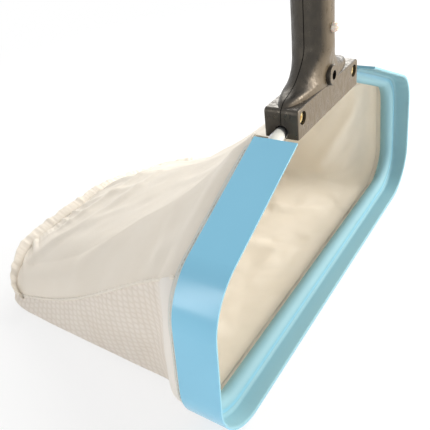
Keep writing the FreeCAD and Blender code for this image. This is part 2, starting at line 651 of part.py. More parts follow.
def add_flare(body):
    """The smooth flare from the block up into the round spigot, and the spigot itself."""
    levels = (
        (f"{BLOCK_TOP} - flare_sunk", "flare_half_1", "block_depth_half - flare_inset_1"),
        (f"{BLOCK_TOP} + flare_rise_2", "flare_half_2", "block_depth_half"),
        (f"{BLOCK_TOP} + flare_rise_3", "flare_half_3", "block_depth_half"),
        (f"{BLOCK_TOP} + flare_rise_4", "flare_half_4", "block_depth_half + flare_bulge_4"),
        (f"{BLOCK_TOP} + flare_rise_5", "flare_half_5", "block_depth_half + flare_bulge_5"),
    )
    sections = []
    for index, (height, wide, deep) in enumerate(levels, start=1):
        sections.append(ellipse(sketch_on(body, "XY_Plane", f"flare_{index}", height), wide, deep))
    flare_top = sketch_on(body, "XY_Plane", "flare_top", FLARE_TOP)
    sections.append(circle(flare_top, ("0", "0"), "spigot_radius + spigot_swell"))
    feature(body, "AdditiveLoft", "flare", sections[0], Sections=sections[1:])
    DOC.recompute()
    foot = sketch_on(body, "XY_Plane", "foot", FLARE_TOP)
    circle(foot, ("0", "0"), "spigot_radius + spigot_swell")
    foot_top = circle(sketch_on(body, "XY_Plane", "foot_top", FOOT_TOP), ("0", "0"), "spigot_radius")
    feature(body, "AdditiveLoft", "foot_loft", foot, Sections=[foot_top])
    DOC.recompute()
    tube = circle(sketch_on(body, "XY_Plane", "spigot", FOOT_TOP), ("0", "0"), "spigot_radius")
    pad(body, "spigot_pad", tube, "spigot_length - spigot_foot")
    top = number(SPIGOT_TOP)
    edges = edges_of(body, lambda middle: abs(middle.z - top) < NEAR)
    soften(body, "Chamfer", "spigot_lead", edges, "Size", "spigot_chamfer")


def make_handle_shell(label, front):
    """One half of the clamp handle."""
    body = new_body(label)
    add_block(body)
    add_flare(body)
    bore = circle(sketch_on(body, "XY_Plane", "bore", SPIGOT_TOP), ("0", "0"), "spigot_bore")
    pocket(body, "bore_cut", bore, "spigot_length + flare_rise / 2 - bore_floor")
    grip = circle(sketch_on(body, "YZ_Plane", "grip"), ("0", "rod_top"), GRIP_BORE)
    pocket(body, "grip_cut", grip, "2 * (block_half + overrun)", Midplane=True)
    parting = sketch_on(body, "XZ_Plane", "parting")
    half = "(block_half + overrun)"
    rectangle(parting, (f"-{half}", f"{BLOCK_BOTTOM} - overrun"), (half, f"{SPIGOT_TOP} + overrun"))
    pocket(body, "parting_cut", parting, "2 * spigot_radius", Reversed=not front)
    holes = sketch_on(body, "XZ_Plane", "holes")
    circle(holes, (f"-{SCREW_HALF}", SCREW_HEIGHT), "screw_radius + fit_gap")
    circle(holes, (SCREW_HALF, SCREW_HEIGHT), "screw_radius + fit_gap")
    circle(holes, ("0", BOSS_HEIGHT), "centre_radius + fit_gap")
    pocket(body, "holes_cut", holes, "4 * spigot_radius", Midplane=True)
    core = sketch_on(body, "XZ_Plane", "core")
    core_floor = f"rod_top + {GRIP_BORE} + core_wall"
    outline(core, ("core_inner", core_floor), (
        (("core_outer", core_floor),),
        (("core_outer", f"{BLOCK_TOP} - core_wall"),),
        (("core_inner", f"{BLOCK_TOP} + core_rise"),),
        (("core_inner", core_floor),),
    ))
    hollow = pocket(body, "core_cut", core, "core_depth", Reversed=front)
    mirrored(body, "cores", [hollow], "YZ_Plane")
    if front:
        add_front_details(body)
    else:
        add_rear_details(body)
    return body


def add_front_details(body):
    """Screw seats, the raised ring round the centre hole and the button's hole."""
    seats = sketch_on(body, "XZ_Plane", "seats", "block_depth_half")
    circle(seats, (f"-{SCREW_HALF}", SCREW_HEIGHT), "screw_seat_radius")
    circle(seats, (SCREW_HALF, SCREW_HEIGHT), "screw_seat_radius")
    pocket(body, "seats_cut", seats, "screw_seat_depth")
    ring = sketch_on(body, "XZ_Plane", "ring", "block_depth_half - boss_root")
    circle(ring, ("0", BOSS_HEIGHT), "boss_radius")
    pad(body, "ring_pad", ring, "boss_proud + boss_root")
    face = number("block_depth_half + boss_proud")
    edges = edges_of(body, lambda middle: abs(middle.y + face) < NEAR)
    soften(body, "Fillet", "ring_edge", edges, "Radius", "boss_edge")
    mouth = sketch_on(body, "XZ_Plane", "mouth", "block_depth_half + boss_proud")
    circle(mouth, ("0", BOSS_HEIGHT), "boss_bore")
    pocket(body, "mouth_cut", mouth, "boss_bore_depth")
    window = sketch_on(body, "XZ_Plane", "window", "spigot_radius + overrun")
    circle(window, ("0", BUTTON_HEIGHT), "button_radius + fit_gap")
    pocket(body, "window_cut", window, "spigot_radius")


def add_rear_details(body):
    """Hexagonal pockets for the nuts."""
    pockets = sketch_on(body, "XZ_Plane", "nuts", "-block_depth_half")
    hexagon(pockets, (f"-{SCREW_HALF}", SCREW_HEIGHT), "(nut_half_flats + fit_gap)")
    hexagon(pockets, (SCREW_HALF, SCREW_HEIGHT), "(nut_half_flats + fit_gap)")
    pocket(body, "nuts_cut", pockets, "nut_sunk + nut_height", Reversed=True)
    centre = sketch_on(body, "XZ_Plane", "centre_nut", "-(block_depth_half + flare_bulge_5 + overrun)")
    hexagon(centre, ("0", BOSS_HEIGHT), "(centre_nut_half_flats + fit_gap)")
    pocket(body, "centre_nut_cut", centre, "nut_sunk + nut_height + flare_bulge_5 + overrun", Reversed=True)


# Screws and nuts that close the clamp
def add_screw(body, across, up, shank, head, height, seat, tail):
    """A pan-head screw along Y: its head's seat and its tail are distances from the parting plane."""
    shaft = circle(sketch_on(body, "XZ_Plane", "shaft", seat), (across, up), shank)
    parts = [pad(body, "shaft_pad", shaft, f"{seat} + {tail}", Reversed=True)]
    cap = circle(sketch_on(body, "XZ_Plane", "cap", seat), (across, up), head)
    parts.append(pad(body, "cap_pad", cap, height))
    cross = (("slot_a", "recess_length", "recess_width"), ("slot_b", "recess_width", "recess_length"))
    for name, wide, tall in cross:
        slot = sketch_on(body, "XZ_Plane", name, f"{seat} + {height}")
        low = (f"{across} - {wide} / 2", f"{up} - {tall} / 2")
        high = (f"{across} + {wide} / 2", f"{up} + {tall} / 2")
        rectangle(slot, low, high)
        parts.append(pocket(body, f"{name}_cut", slot, "recess_depth"))
    return parts


def make_end_screws():
    body = new_body("end_screws")
    body.AllowCompound = True
    parts = add_screw(body, SCREW_HALF, SCREW_HEIGHT, "screw_radius", "screw_head_radius",
                      "screw_head_height", "(block_depth_half - screw_seat_depth)",
                      "(block_depth_half - nut_sunk)")
    mirrored(body, "pair", parts, "YZ_Plane")
    return body


def make_centre_screw():
    body = new_body("centre_screw")
    add_screw(body, "0", BOSS_HEIGHT, "centre_radius", "centre_head_radius", "centre_head_height",
              "(block_depth_half + boss_proud - boss_bore_depth)", "(block_depth_half - nut_sunk)")
    return body


def add_nut(body, across, up, half_flats, hole):
    """A hexagon nut in its pocket in the rear face, with the screw's hole."""
    blank = sketch_on(body, "XZ_Plane", "blank", "-(block_depth_half - nut_sunk)")
    hexagon(blank, (across, up), half_flats)
    circle(blank, (across, up), hole)
    return pad(body, "nut", blank, "nut_height")


def make_end_nuts():
    body = new_body("end_nuts")
    body.AllowCompound = True
    nut = add_nut(body, SCREW_HALF, SCREW_HEIGHT, "nut_half_flats", "screw_radius + fit_gap")
    mirrored(body, "pair", [nut], "YZ_Plane")
    return body


def make_centre_nut():
    body = new_body("centre_nut")
    add_nut(body, "0", BOSS_HEIGHT, "centre_nut_half_flats", "centre_radius + fit_gap")
    return body


# Spring clip inside the spigot, and the button that it pushes out through the front wall
def make_clip_spring():
    body = new_body("clip_spring")
    path = sketch_on(body, "YZ_Plane", "path")
    back = "sqrt(spigot_bore ^ 2 - spring_width ^ 2 / 4) - spring_strip / 2 - fit_gap"
    corners = (
        (f"-{LEG_PLACE}", f"{BUTTON_HEIGHT} + spring_front_rise"),
        (f"-{LEG_PLACE}", f"{BUTTON_HEIGHT} - spring_knee_drop"),
        ("0", f"{BUTTON_HEIGHT} - spring_apex_drop"),
        (back, f"{BUTTON_HEIGHT} + spring_back_rise"),
    )
    bent_path(path, corners, ("spring_fold_radius", "spring_fold_radius"))
    section = sketch_on(body, "XY_Plane", "section", f"{BUTTON_HEIGHT} + spring_front_rise")
    rectangle(section, ("-spring_width / 2", f"-{LEG_PLACE} - spring_strip / 2"),
              ("spring_width / 2", f"-{LEG_PLACE} + spring_strip / 2"))
    pipe(body, "strip", section, path)
    hole = sketch_on(body, "XZ_Plane", "hole", f"{LEG_PLACE} + 2 * spring_strip")
    circle(hole, ("0", BUTTON_HEIGHT), "button_stub_radius + fit_gap")
    pocket(body, "hole_cut", hole, "4 * spring_strip")
    return body


def make_clip_button():
    body = new_body("clip_button")
    sketch = sketch_on(body, "YZ_Plane", "profile")
    tip = "(spigot_radius + button_out)"
    flange_back = f"({FLANGE_FRONT} - button_flange)"
    dome_middle = (f"-({tip} - {ARC_IN} * button_radius)", f"{BUTTON_HEIGHT} + {ARC_OUT} * button_radius")
    outline(sketch, (f"-{STUB_END}", BUTTON_HEIGHT), (
        ((f"-{STUB_END}", f"{BUTTON_HEIGHT} + button_stub_radius"),),
        ((f"-{flange_back}", f"{BUTTON_HEIGHT} + button_stub_radius"),),
        ((f"-{flange_back}", f"{BUTTON_HEIGHT} + button_flange_radius"),),
        ((f"-{FLANGE_FRONT}", f"{BUTTON_HEIGHT} + button_flange_radius"),),
        ((f"-{FLANGE_FRONT}", f"{BUTTON_HEIGHT} + button_radius"),),
        ((f"-({tip} - button_radius)", f"{BUTTON_HEIGHT} + button_radius"),),
        (dome_middle, (f"-{tip}", BUTTON_HEIGHT)),
        ((f"-{STUB_END}", BUTTON_HEIGHT),),
    ))
    axis_ends = ((f"-{tip}", BUTTON_HEIGHT), ("0", BUTTON_HEIGHT))
    axis = sketch.addGeometry(Part.LineSegment(*[spot(end) for end in axis_ends]), True)
    for number_of_end, end in enumerate(axis_ends, start=1):
        pin(sketch, axis, number_of_end, end)
    turned = feature(body, "Revolution", "turned", sketch)
    turned.ReferenceAxis = (sketch, ["Axis0"])
    turned.Angle = 360
    DOC.recompute()
    return body


# Net bag. Each station has the same corners: floor, rounded corner, side, seam, fold and top.
STATIONS = range(7)
MOUTH_LIFT = f"({ROD_BOTTOM} - {SLEEVE_RADIUS})"


def station(index, right):
    """Expressions of one side of a station: depth, lift, side, corner, seam, fold, crown and fall."""
    if index == 0:
        reach = SLEEVE_RADIUS
        corner_rise = f"({MOUTH_LIFT} + bag_mouth_corner - {ROD_BOTTOM})"
        return {
            "depth": "hem_depth",
            "lift": MOUTH_LIFT,
            "side": f"(rod_corner_half - {corner_rise} * {SIDE_LEAN} + {reach})",
            "corner": "bag_mouth_corner",
            "seam": ("(rod_shoulder_half - bag_shoulder_inset)",
                     "(rod_shoulder_height - bag_shoulder_inset)"),
            "ridge": (f"({CUT_HALF} + {reach} * {SLOPE_RISE} / {SLOPE_LENGTH})",
                      f"({CUT_HEIGHT} + {reach} * {SLOPE_RUN} / {SLOPE_LENGTH})"),
            "crown": f"({CUT_HEIGHT} - bag_mouth_sag)",
            "fall": "bag_fall",
        }
    own = "right_" if right and index > 1 else ""
    return {
        "depth": f"bag_depth_{index}",
        "lift": f"{own}bag_lift_{index}" if index > 4 else "bag_lift",
        "side": f"{own}bag_side_{index}",
        "corner": f"bag_corner_{index}",
        "seam": (f"{own}seam_half_{index}", f"{own}seam_height_{index}"),
        "ridge": (f"{own}ridge_half_{index}", f"{own}ridge_height_{index}"),
        "crown": f"crown_{index}",
        "fall": f"right_bag_fall_{index}" if own else "bag_fall",
    }


def bag_side(index, inset, right):
    """Corners of one side of a station's outline, drawn in by an inset for the inside of the cloth."""
    place = station(index, right)
    other = station(index, False)
    sign = "" if right else "-"
    side = f"({place['side']} - {inset})"
    low = f"({place['lift']} + {inset})"
    corner = place["corner"]
    seam = (f"({place['seam'][0]} - {inset})", place["seam"][1])
    ridge = (f"({place['ridge'][0]} - {inset})", f"({place['ridge'][1]} - {inset})")
    crown = f"({place['crown']} - {inset})"
    belly = f"bag_belly * ({seam[1]} - {low} - {corner})"
    round_off = f"bag_hip * ({ridge[1]} - {seam[1]})"
    floor_end = f"({side} - {corner})"
    middle_low = f"({other['lift']} + {inset})"
    corners = {
        "floor_middle": ("0", middle_low),
        "floor_bend": (f"({floor_end} / 2)", f"({middle_low} + {place['fall']} * ({low} - {middle_low}))"),
        "floor_end": (floor_end, low),
        "turn": (f"({side} - {ARC_IN} * {corner})", f"({low} + {ARC_IN} * {corner})"),
        "side": (side, f"({low} + {corner})"),
        "bulge": (f"(({side} + {seam[0]}) / 2 + {belly})", f"({low} + {corner} + {seam[1]}) / 2"),
        "seam": seam,
        "hip": tuple(f"(({first} + {last}) / 2 + {round_off})" for first, last in zip(seam, ridge)),
        "ridge": ridge,
        "top_bend": (f"({ridge[0]} / 2)", f"({crown} + {place['fall']} * ({ridge[1]} - {crown}))"),
        "crown": ("0", crown),
    }
    for name, (across, up) in corners.items():
        if across != "0":
            corners[name] = (f"{sign}{across}", up)
    return corners


def bag_outline(body, label, index, inset):
    """One station's outline."""
    depth = station(index, True)["depth"]
    if index == 6:
        depth = f"{depth} - {inset}"
    sketch = sketch_on(body, "XZ_Plane", f"{label}_{index}", f"-({depth})")
    left = bag_side(index, inset, False)
    right = bag_side(index, inset, True)
    return outline(sketch, left["floor_end"], (
        (left["floor_middle"],),
        (right["floor_bend"],),
        (right["floor_end"],),
        (right["turn"], right["side"]),
        (right["bulge"], right["seam"]),
        (right["hip"], right["ridge"]),
        (right["top_bend"], right["crown"]),
        (left["top_bend"], left["ridge"]),
        (left["hip"], left["seam"]),
        (left["bulge"], left["side"]),
        (left["turn"], left["floor_end"]),
    ))


def add_bag_shell(body):
    """The whole bag as a thin shell that is open at the mouth."""
    outer = [bag_outline(body, "outer", index, "0") for index in STATIONS]
    feature(body, "AdditiveLoft", "outside", outer[0], Sections=outer[1:])
    inner = [bag_outline(body, "inner", index, "bag_wall") for index in STATIONS]
    feature(body, "SubtractiveLoft", "inside", inner[0], Sections=inner[1:])
    DOC.recompute()


def seat_on_bag(body):
    """Take the whole bag out of a piece, so that it lies on the cloth's outside."""
    outer = [bag_outline(body, "outer", index, "0") for index in STATIONS]
    feature(body, "SubtractiveLoft", "seat", outer[0], Sections=outer[1:])
    DOC.recompute()


def trim_bag(body, keep_top):
    """Cut the shell along its side seams and keep one part."""
    sections = []
    wide = "(rod_corner_half + strip_wall + bag_trim_over)"
    far = "-bag_trim_over" if keep_top else f"({BLOCK_TOP} + bag_trim_over)"
    gap = "+ fit_gap" if keep_top else "- fit_gap"
    for index in STATIONS:
        left = bag_side(index, "0", False)
        right = bag_side(index, "0", True)
        edge_left = f"({left['seam'][1]} {gap})"
        edge_right = f"({right['seam'][1]} {gap})"
        middle = f"({left['floor_middle'][1]} + {left['crown'][1]}) / 2"
        bend = (right["floor_bend"][0], f"({right['floor_bend'][1]} + {right['top_bend'][1]}) / 2")
        over = {0: "- bag_trim_over", 6: "+ bag_trim_over"}.get(index, "")
        step = f"-({station(index, True)['depth']} {over})"
        sketch = sketch_on(body, "XZ_Plane", f"trim_{index}", step)
        sections.append(outline(sketch, (f"-{wide}", far), (
            ((wide, far),),
            ((wide, edge_right),),
            ((right["seam"][0], edge_right),),
            (bend,),
            (("0", middle),),
            ((left["seam"][0], edge_left),),
            ((f"-{wide}", edge_left),),
            ((f"-{wide}", far),),
        )))
    feature(body, "SubtractiveLoft", "trim", sections[0], Sections=sections[1:])
    DOC.recompute()


def make_bag_panel(label, keep_top):
    """The plain cloth above the side seams, or the mesh below them."""
    body = new_body(label)
    add_bag_shell(body)
    trim_bag(body, keep_top)
    return body


def make_side_seam(label, right):
    """The folded seam on one side, from the mouth to the last open station."""
    body = new_body(label)
    sections = []
    for index in range(6):
        across, up = bag_side(index, "0", right)["seam"]
        low = f"({across} - seam_tape)"
        high = f"({across} + seam_tape)"
        sketch = sketch_on(body, "XZ_Plane", f"tape_{index}", f"-({station(index, right)['depth']})")
        rectangle(sketch, (low, f"{up} - seam_tape_half"), (high, f"{up} + seam_tape_half"))
        sections.append(sketch)
    feature(body, "AdditiveLoft", "tape", sections[0], Sections=sections[1:])
    DOC.recompute()
    seat_on_bag(body)
    return body


def make_tail_seam():
    """The gathered seam that closes the bag's end, from one rear corner round to the other."""
    body = new_body("tail_seam")
    sections = []
    for index in range(1, 9):
        depth = f"tail_depth_{index}"
        height = f"tail_height_{index}"
        sketch = sketch_on(body, "YZ_Plane", f"gather_{index}", f"tail_across_{index}")
        inner = f"({depth} - tail_sunk)"
        outer = f"({depth} + tail_reach)"
        sections.append(outline(sketch, (inner, f"{height} - tail_thick / 2"), (
            ((outer, f"{height} + tail_rise - tail_thick / 2"),),
            ((outer, f"{height} + tail_rise + tail_thick / 2"),),
            ((inner, f"{height} + tail_thick / 2"),),
            ((inner, f"{height} - tail_thick / 2"),),
        )))
    feature(body, "AdditiveLoft", "band", sections[0], Sections=sections[1:])
    DOC.recompute()
    seat_on_bag(body)
    return body


NODES = [
    make_frame_rod(),
    make_rod_ferrule(),
    make_edge_strip(),
    make_rim_hem(),
    make_handle_shell("handle_front_shell", True),
    make_handle_shell("handle_rear_shell", False),
    make_end_screws(),
    make_end_nuts(),
    make_centre_screw(),
    make_centre_nut(),
    make_clip_spring(),
    make_clip_button(),
    make_bag_panel("bag_top_cloth", True),
    make_bag_panel("bag_floor_mesh", False),
    make_side_seam("side_seam_left", False),
    make_side_seam("side_seam_right", True),
    make_tail_seam(),
]

DOC.recompute()
for item in DOC.Objects:
    if "Invalid" in item.State or "Error" in item.State:
        raise SystemExit(f"{item.Label} failed: {item.State}")
os.makedirs("parts", exist_ok=True)
for node in NODES:
    shape = node.Shape
    if shape.isNull() or not shape.isValid():
        raise SystemExit(f"{node.Label} has no valid shape")
    shape.exportStep(f"parts/{node.Label}.step")
    print(f"{node.Label}: {len(shape.Solids)} solid, {shape.Volume:.0f} mm3")
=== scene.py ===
"""Leaf skimmer net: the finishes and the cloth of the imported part, in metres."""

import logging
import math
from dataclasses import dataclass, field
from enum import Enum
from functools import partial
from typing import Callable, Sequence

import bpy
import numpy as np
from mathutils import Matrix, Vector

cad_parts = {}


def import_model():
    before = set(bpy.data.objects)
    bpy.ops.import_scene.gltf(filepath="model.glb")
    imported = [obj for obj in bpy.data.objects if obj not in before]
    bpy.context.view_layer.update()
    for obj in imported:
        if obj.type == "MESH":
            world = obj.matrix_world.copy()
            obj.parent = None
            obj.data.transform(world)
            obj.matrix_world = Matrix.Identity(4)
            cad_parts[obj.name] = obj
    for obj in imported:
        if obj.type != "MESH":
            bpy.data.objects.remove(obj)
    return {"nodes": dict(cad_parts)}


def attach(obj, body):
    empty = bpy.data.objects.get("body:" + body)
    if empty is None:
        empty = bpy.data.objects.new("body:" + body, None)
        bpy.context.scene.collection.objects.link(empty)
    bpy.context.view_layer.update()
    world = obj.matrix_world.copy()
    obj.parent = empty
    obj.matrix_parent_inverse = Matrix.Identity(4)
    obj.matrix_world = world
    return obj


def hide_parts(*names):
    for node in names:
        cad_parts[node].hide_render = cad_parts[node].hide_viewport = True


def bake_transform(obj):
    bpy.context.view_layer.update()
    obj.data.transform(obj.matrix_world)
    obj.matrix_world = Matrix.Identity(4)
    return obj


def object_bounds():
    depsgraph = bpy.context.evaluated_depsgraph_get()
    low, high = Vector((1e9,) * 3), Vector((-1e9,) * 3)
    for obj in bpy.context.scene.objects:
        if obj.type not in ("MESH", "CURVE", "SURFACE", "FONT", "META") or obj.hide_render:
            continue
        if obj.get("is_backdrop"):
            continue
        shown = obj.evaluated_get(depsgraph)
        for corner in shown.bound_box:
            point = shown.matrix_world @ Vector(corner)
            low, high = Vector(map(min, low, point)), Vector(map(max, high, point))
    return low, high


LOG = logging.getLogger("leaf_skimmer")
NET = "net"
MM = 0.001
UP = (0.0, 0.0, 1.0)
FLOOR_GAP = 0.4 * MM
MERGE_GAP = 0.01 * MM

# Settings and input numbers that many shader nodes share.
COLOURS = {"data_type": "RGBA"}
EASED = {"interpolation_type": "SMOOTHSTEP"}
TIMES = {"operation": "MULTIPLY"}
TIMES_PLUS = {"operation": "MULTIPLY_ADD"}
LARGEST = {"operation": "MAXIMUM"}
MIX_A, MIX_B = 6, 7

AddNode = Callable[..., bpy.types.Node]
Place = Callable[[np.ndarray, np.ndarray], np.ndarray]
Point = tuple[float, float, float]
Pair = tuple[float, float]


class Panel(Enum):
    """The two cloths of the bag."""

    TOP = "top"
    FLOOR = "floor"


def linear(code: str) -> tuple[float, float, float, float]:
    """Turn an sRGB hex colour into Blender's linear colour.

    Args:
        code: Six hex digits.

    Returns:
        Red, green, blue and alpha.
    """
    values = [int(code[i:i + 2], 16) / 255 for i in (0, 2, 4)]
    parts = [v / 12.92 if v <= 0.04045 else ((v + 0.055) / 1.055) ** 2.4 for v in values]
    return parts[0], parts[1], parts[2], 1.0


def add_node(tree: bpy.types.NodeTree, kind: str, settings: dict | None = None,
             inputs: dict | None = None) -> bpy.types.Node:
    """Add one shader node with its settings and its inputs.

    Args:
        tree: The material's or world's node tree.
        kind: The node's type, without its ShaderNode prefix.
        settings: Property values by name.
        inputs: By input name or number: a plain value, an output socket, or a node, whose first
            output in use is taken.

    Returns:
        The new node.
    """
    node = tree.nodes.new(f"ShaderNode{kind}")
    for name, value in (settings or {}).items():
        setattr(node, name, value)
    for name, value in (inputs or {}).items():
        if isinstance(value, bpy.types.Node):
            value = next(socket for socket in value.outputs if socket.enabled)
        if isinstance(value, bpy.types.NodeSocket):
            tree.links.new(value, node.inputs[name])
        else:
            node.inputs[name].default_value = value
    return node


def ends(side: str, values: Pair) -> dict[str, float]:
    """A Map Range node's From or To range, as inputs."""
    return {f"{side} Min": values[0], f"{side} Max": values[1]}


def per_metre(size_mm: float) -> float:
    """The scale of a noise whose grain is a size in millimetres."""
    return 1 / (size_mm * MM)


def bands_per_metre(pitch_mm: float) -> float:
    """The scale of a wave texture whose bands repeat at a pitch in millimetres."""
    return 2 * math.pi / (20 * pitch_mm * MM)


def thin_cloth(add: AddNode, colour: bpy.types.Node, normal: bpy.types.Node,
               glow: float) -> bpy.types.Node:
    """Add the shader of a thin cloth, which lets part of the light through to its other side.

    Args:
        add: Adds a node to the material.
        colour: The cloth's colour.
        normal: Its bumped normal.
        glow: The share of the light that goes through.

    Returns:
        The shader.
    """
    fibres = add("BsdfPrincipled", inputs={
        "Base Color": colour, "Roughness": 0.82, "Normal": normal, "IOR": 1.5,
        "Specular IOR Level": 0.2, "Sheen Weight": 0.1, "Sheen Roughness": 0.5})
    through = add("BsdfTranslucent", inputs={"Color": colour, "Normal": normal})
    return add("MixShader", inputs={0: glow, 1: fibres, 2: through})


@dataclass(frozen=True)
class Finish:
    """What a piece is made of and how its surface was made, as a Blender material."""

    name: str

    def material(self) -> bpy.types.Material:
        """Make the Blender material.

        Returns:
            The material, with its nodes.
        """
        material = bpy.data.materials.new(self.name)
        material.use_nodes = True
        material.node_tree.nodes.clear()
        add = partial(add_node, material.node_tree)
        shader = self.paint(add, add("TexCoord").outputs["Object"])
        add("OutputMaterial", inputs={"Surface": shader})
        return material

    def paint(self, add: AddNode, place: bpy.types.NodeSocket) -> bpy.types.Node:
        """Add the nodes of the finish.

        Args:
            add: Adds a node to the material.
            place: The Object coordinates, in metres.

        Returns:
            The shader that ends them.
        """
        raise NotImplementedError


@dataclass(frozen=True)
class MouldedAbs(Finish):
    """Black ABS, injection moulded in a sparked tool: a mottled grain that catches the light, a
    front face painted lighter brown as a warm reflection, and a dark line of painted shade where
    the two halves meet, at Y = 0."""

    name: str = "moulded_abs"
    colour: str = "131416"
    worn_colour: str = "24221F"
    front_reflection_colour: str = "5C5140"
    gap_shade_colour: str = "080807"
    gloss_tint: str = "FFF1DC"
    gloss_level: float = 0.62
    grain_mm: float = 1.3
    grain_height_mm: float = 0.17
    streak_mm: float = 2.6
    streak_height_mm: float = 0.255
    streak_stretch: Point = (1.0, 1.0, 0.35)
    streak_range: Pair = (0.35, 0.65)
    cloud_mm: float = 7.0
    cloud_range: Pair = (0.38, 0.68)
    roughness: Pair = (0.25, 0.54)
    line_mm: Pair = (0.18, 0.42)
    front_reflection_facing: Pair = (-0.70, -0.98)

    def paint(self, add: AddNode, place: bpy.types.NodeSocket) -> bpy.types.Node:
        """Add the nodes of the clamp's plastic.

        Args:
            add: Adds a node to the material.
            place: The Object coordinates, in metres.

        Returns:
            The shader that ends them.
        """
        drawn = add("VectorMath", TIMES, {0: place, 1: self.streak_stretch})
        grain = add("TexNoise", inputs={
            "Vector": place, "Scale": per_metre(self.grain_mm), "Detail": 4.0, "Roughness": 0.6})
        streak = add("TexNoise", inputs={
            "Vector": drawn, "Scale": per_metre(self.streak_mm), "Detail": 3.0})
        cloud = add("TexNoise", inputs={
            "Vector": place, "Scale": per_metre(self.cloud_mm), "Detail": 3.0})
        tone = add("MapRange", inputs={"Value": cloud} | ends("From", self.cloud_range))
        colour = add("Mix", COLOURS, {
            "Factor": tone, MIX_A: linear(self.colour), MIX_B: linear(self.worn_colour)})
        # Painted warm reflection: faces that look along -Y are mixed towards a lighter brown.
        normal = add("SeparateXYZ", inputs={0: add("NewGeometry").outputs["Normal"]})
        front_reflection = add("MapRange", inputs={
            "Value": normal.outputs["Y"]} | ends("From", self.front_reflection_facing))
        reflected_colour = add("Mix", COLOURS, {
            "Factor": front_reflection, MIX_A: colour, MIX_B: linear(self.front_reflection_colour)})
        parts = add("SeparateXYZ", inputs={0: place})
        # Painted shade: a dark line along Y = 0, with its gloss taken away, stands for the shade in
        # the gap where the two halves meet.
        off = add("Math", {"operation": "ABSOLUTE"}, {0: parts.outputs["Y"]})
        near, far = self.line_mm
        line = add("MapRange", inputs={
            "Value": off} | ends("From", (near * MM, far * MM)) | ends("To", (1.0, 0.0)))
        gap_shaded = add("Mix", COLOURS, {"Factor": line, MIX_A: reflected_colour, MIX_B: linear(self.gap_shade_colour)})
        gloss = add("MapRange", inputs={
            "Value": streak} | ends("From", self.streak_range) | ends("To", self.roughness))
        shine = add("MapRange", inputs={"Value": line} | ends("To", (self.gloss_level, 0.0)))
        ripple = add("Bump", inputs={
            "Height": streak, "Strength": 0.5, "Distance": self.streak_height_mm * MM})
        bump = add("Bump", inputs={
            "Height": grain, "Strength": 0.6, "Distance": self.grain_height_mm * MM,
            "Normal": ripple})
        return add("BsdfPrincipled", inputs={
            "Base Color": gap_shaded, "Roughness": gloss, "Normal": bump, "IOR": 1.53,
            "Specular IOR Level": shine, "Specular Tint": linear(self.gloss_tint)})


@dataclass(frozen=True)
class SoftVinyl(Finish):
    """Sky-blue plasticised PVC, extruded: a satin blue face, and a duller skin on the side that
    faces the middle of the hoop, painted greyer there as shade."""

    name: str = "soft_vinyl"
    colour: str = "87CAE7"
    deep_colour: str = "80C4E2"
    inner_shade_colour: str = "82ADB9"
    cloud_mm: float = 45.0
    grain_mm: float = 2.2
    grain_height_mm: float = 0.04
    roughness: Pair = (0.23, 0.62)
    middle: Point = (0.0, 0.0, 0.085)
    hoop_shape: Point = (1.0, 0.0, 2.0)
    inner_facing: Pair = (0.35, -0.35)

    def paint(self, add: AddNode, place: bpy.types.NodeSocket) -> bpy.types.Node:
        """Add the nodes of the scraping strip.

        Args:
            add: Adds a node to the material.
            place: The Object coordinates, in metres.

        Returns:
            The shader that ends them.
        """
        normal = add("NewGeometry").outputs["Normal"]
        cloud = add("TexNoise", inputs={
            "Vector": place, "Scale": per_metre(self.cloud_mm), "Detail": 2.0})
        grain = add("TexNoise", inputs={
            "Vector": place, "Scale": per_metre(self.grain_mm), "Detail": 3.0})
        face = add("Mix", COLOURS, {
            "Factor": cloud, MIX_A: linear(self.colour), MIX_B: linear(self.deep_colour)})
        out = add("VectorMath", {"operation": "SUBTRACT"}, {0: place, 1: self.middle})
        level = add("VectorMath", TIMES, {0: out, 1: self.hoop_shape})
        way = add("VectorMath", {"operation": "NORMALIZE"}, {0: level})
        facing = add("VectorMath", {"operation": "DOT_PRODUCT"}, {0: way, 1: normal})
        inside = add("MapRange", EASED, {"Value": facing} | ends("From", self.inner_facing))
        # Painted shade: the side that faces the middle of the hoop is mixed towards a greyer
        # colour.
        colour = add("Mix", COLOURS, {
            "Factor": inside, MIX_A: face, MIX_B: linear(self.inner_shade_colour)})
        gloss = add("MapRange", inputs={"Value": inside} | ends("To", self.roughness))
        bump = add("Bump", inputs={
            "Height": grain, "Strength": 0.4, "Distance": self.grain_height_mm * MM})
        return add("BsdfPrincipled", inputs={
            "Base Color": colour, "Roughness": gloss, "IOR": 1.54, "Normal": bump})


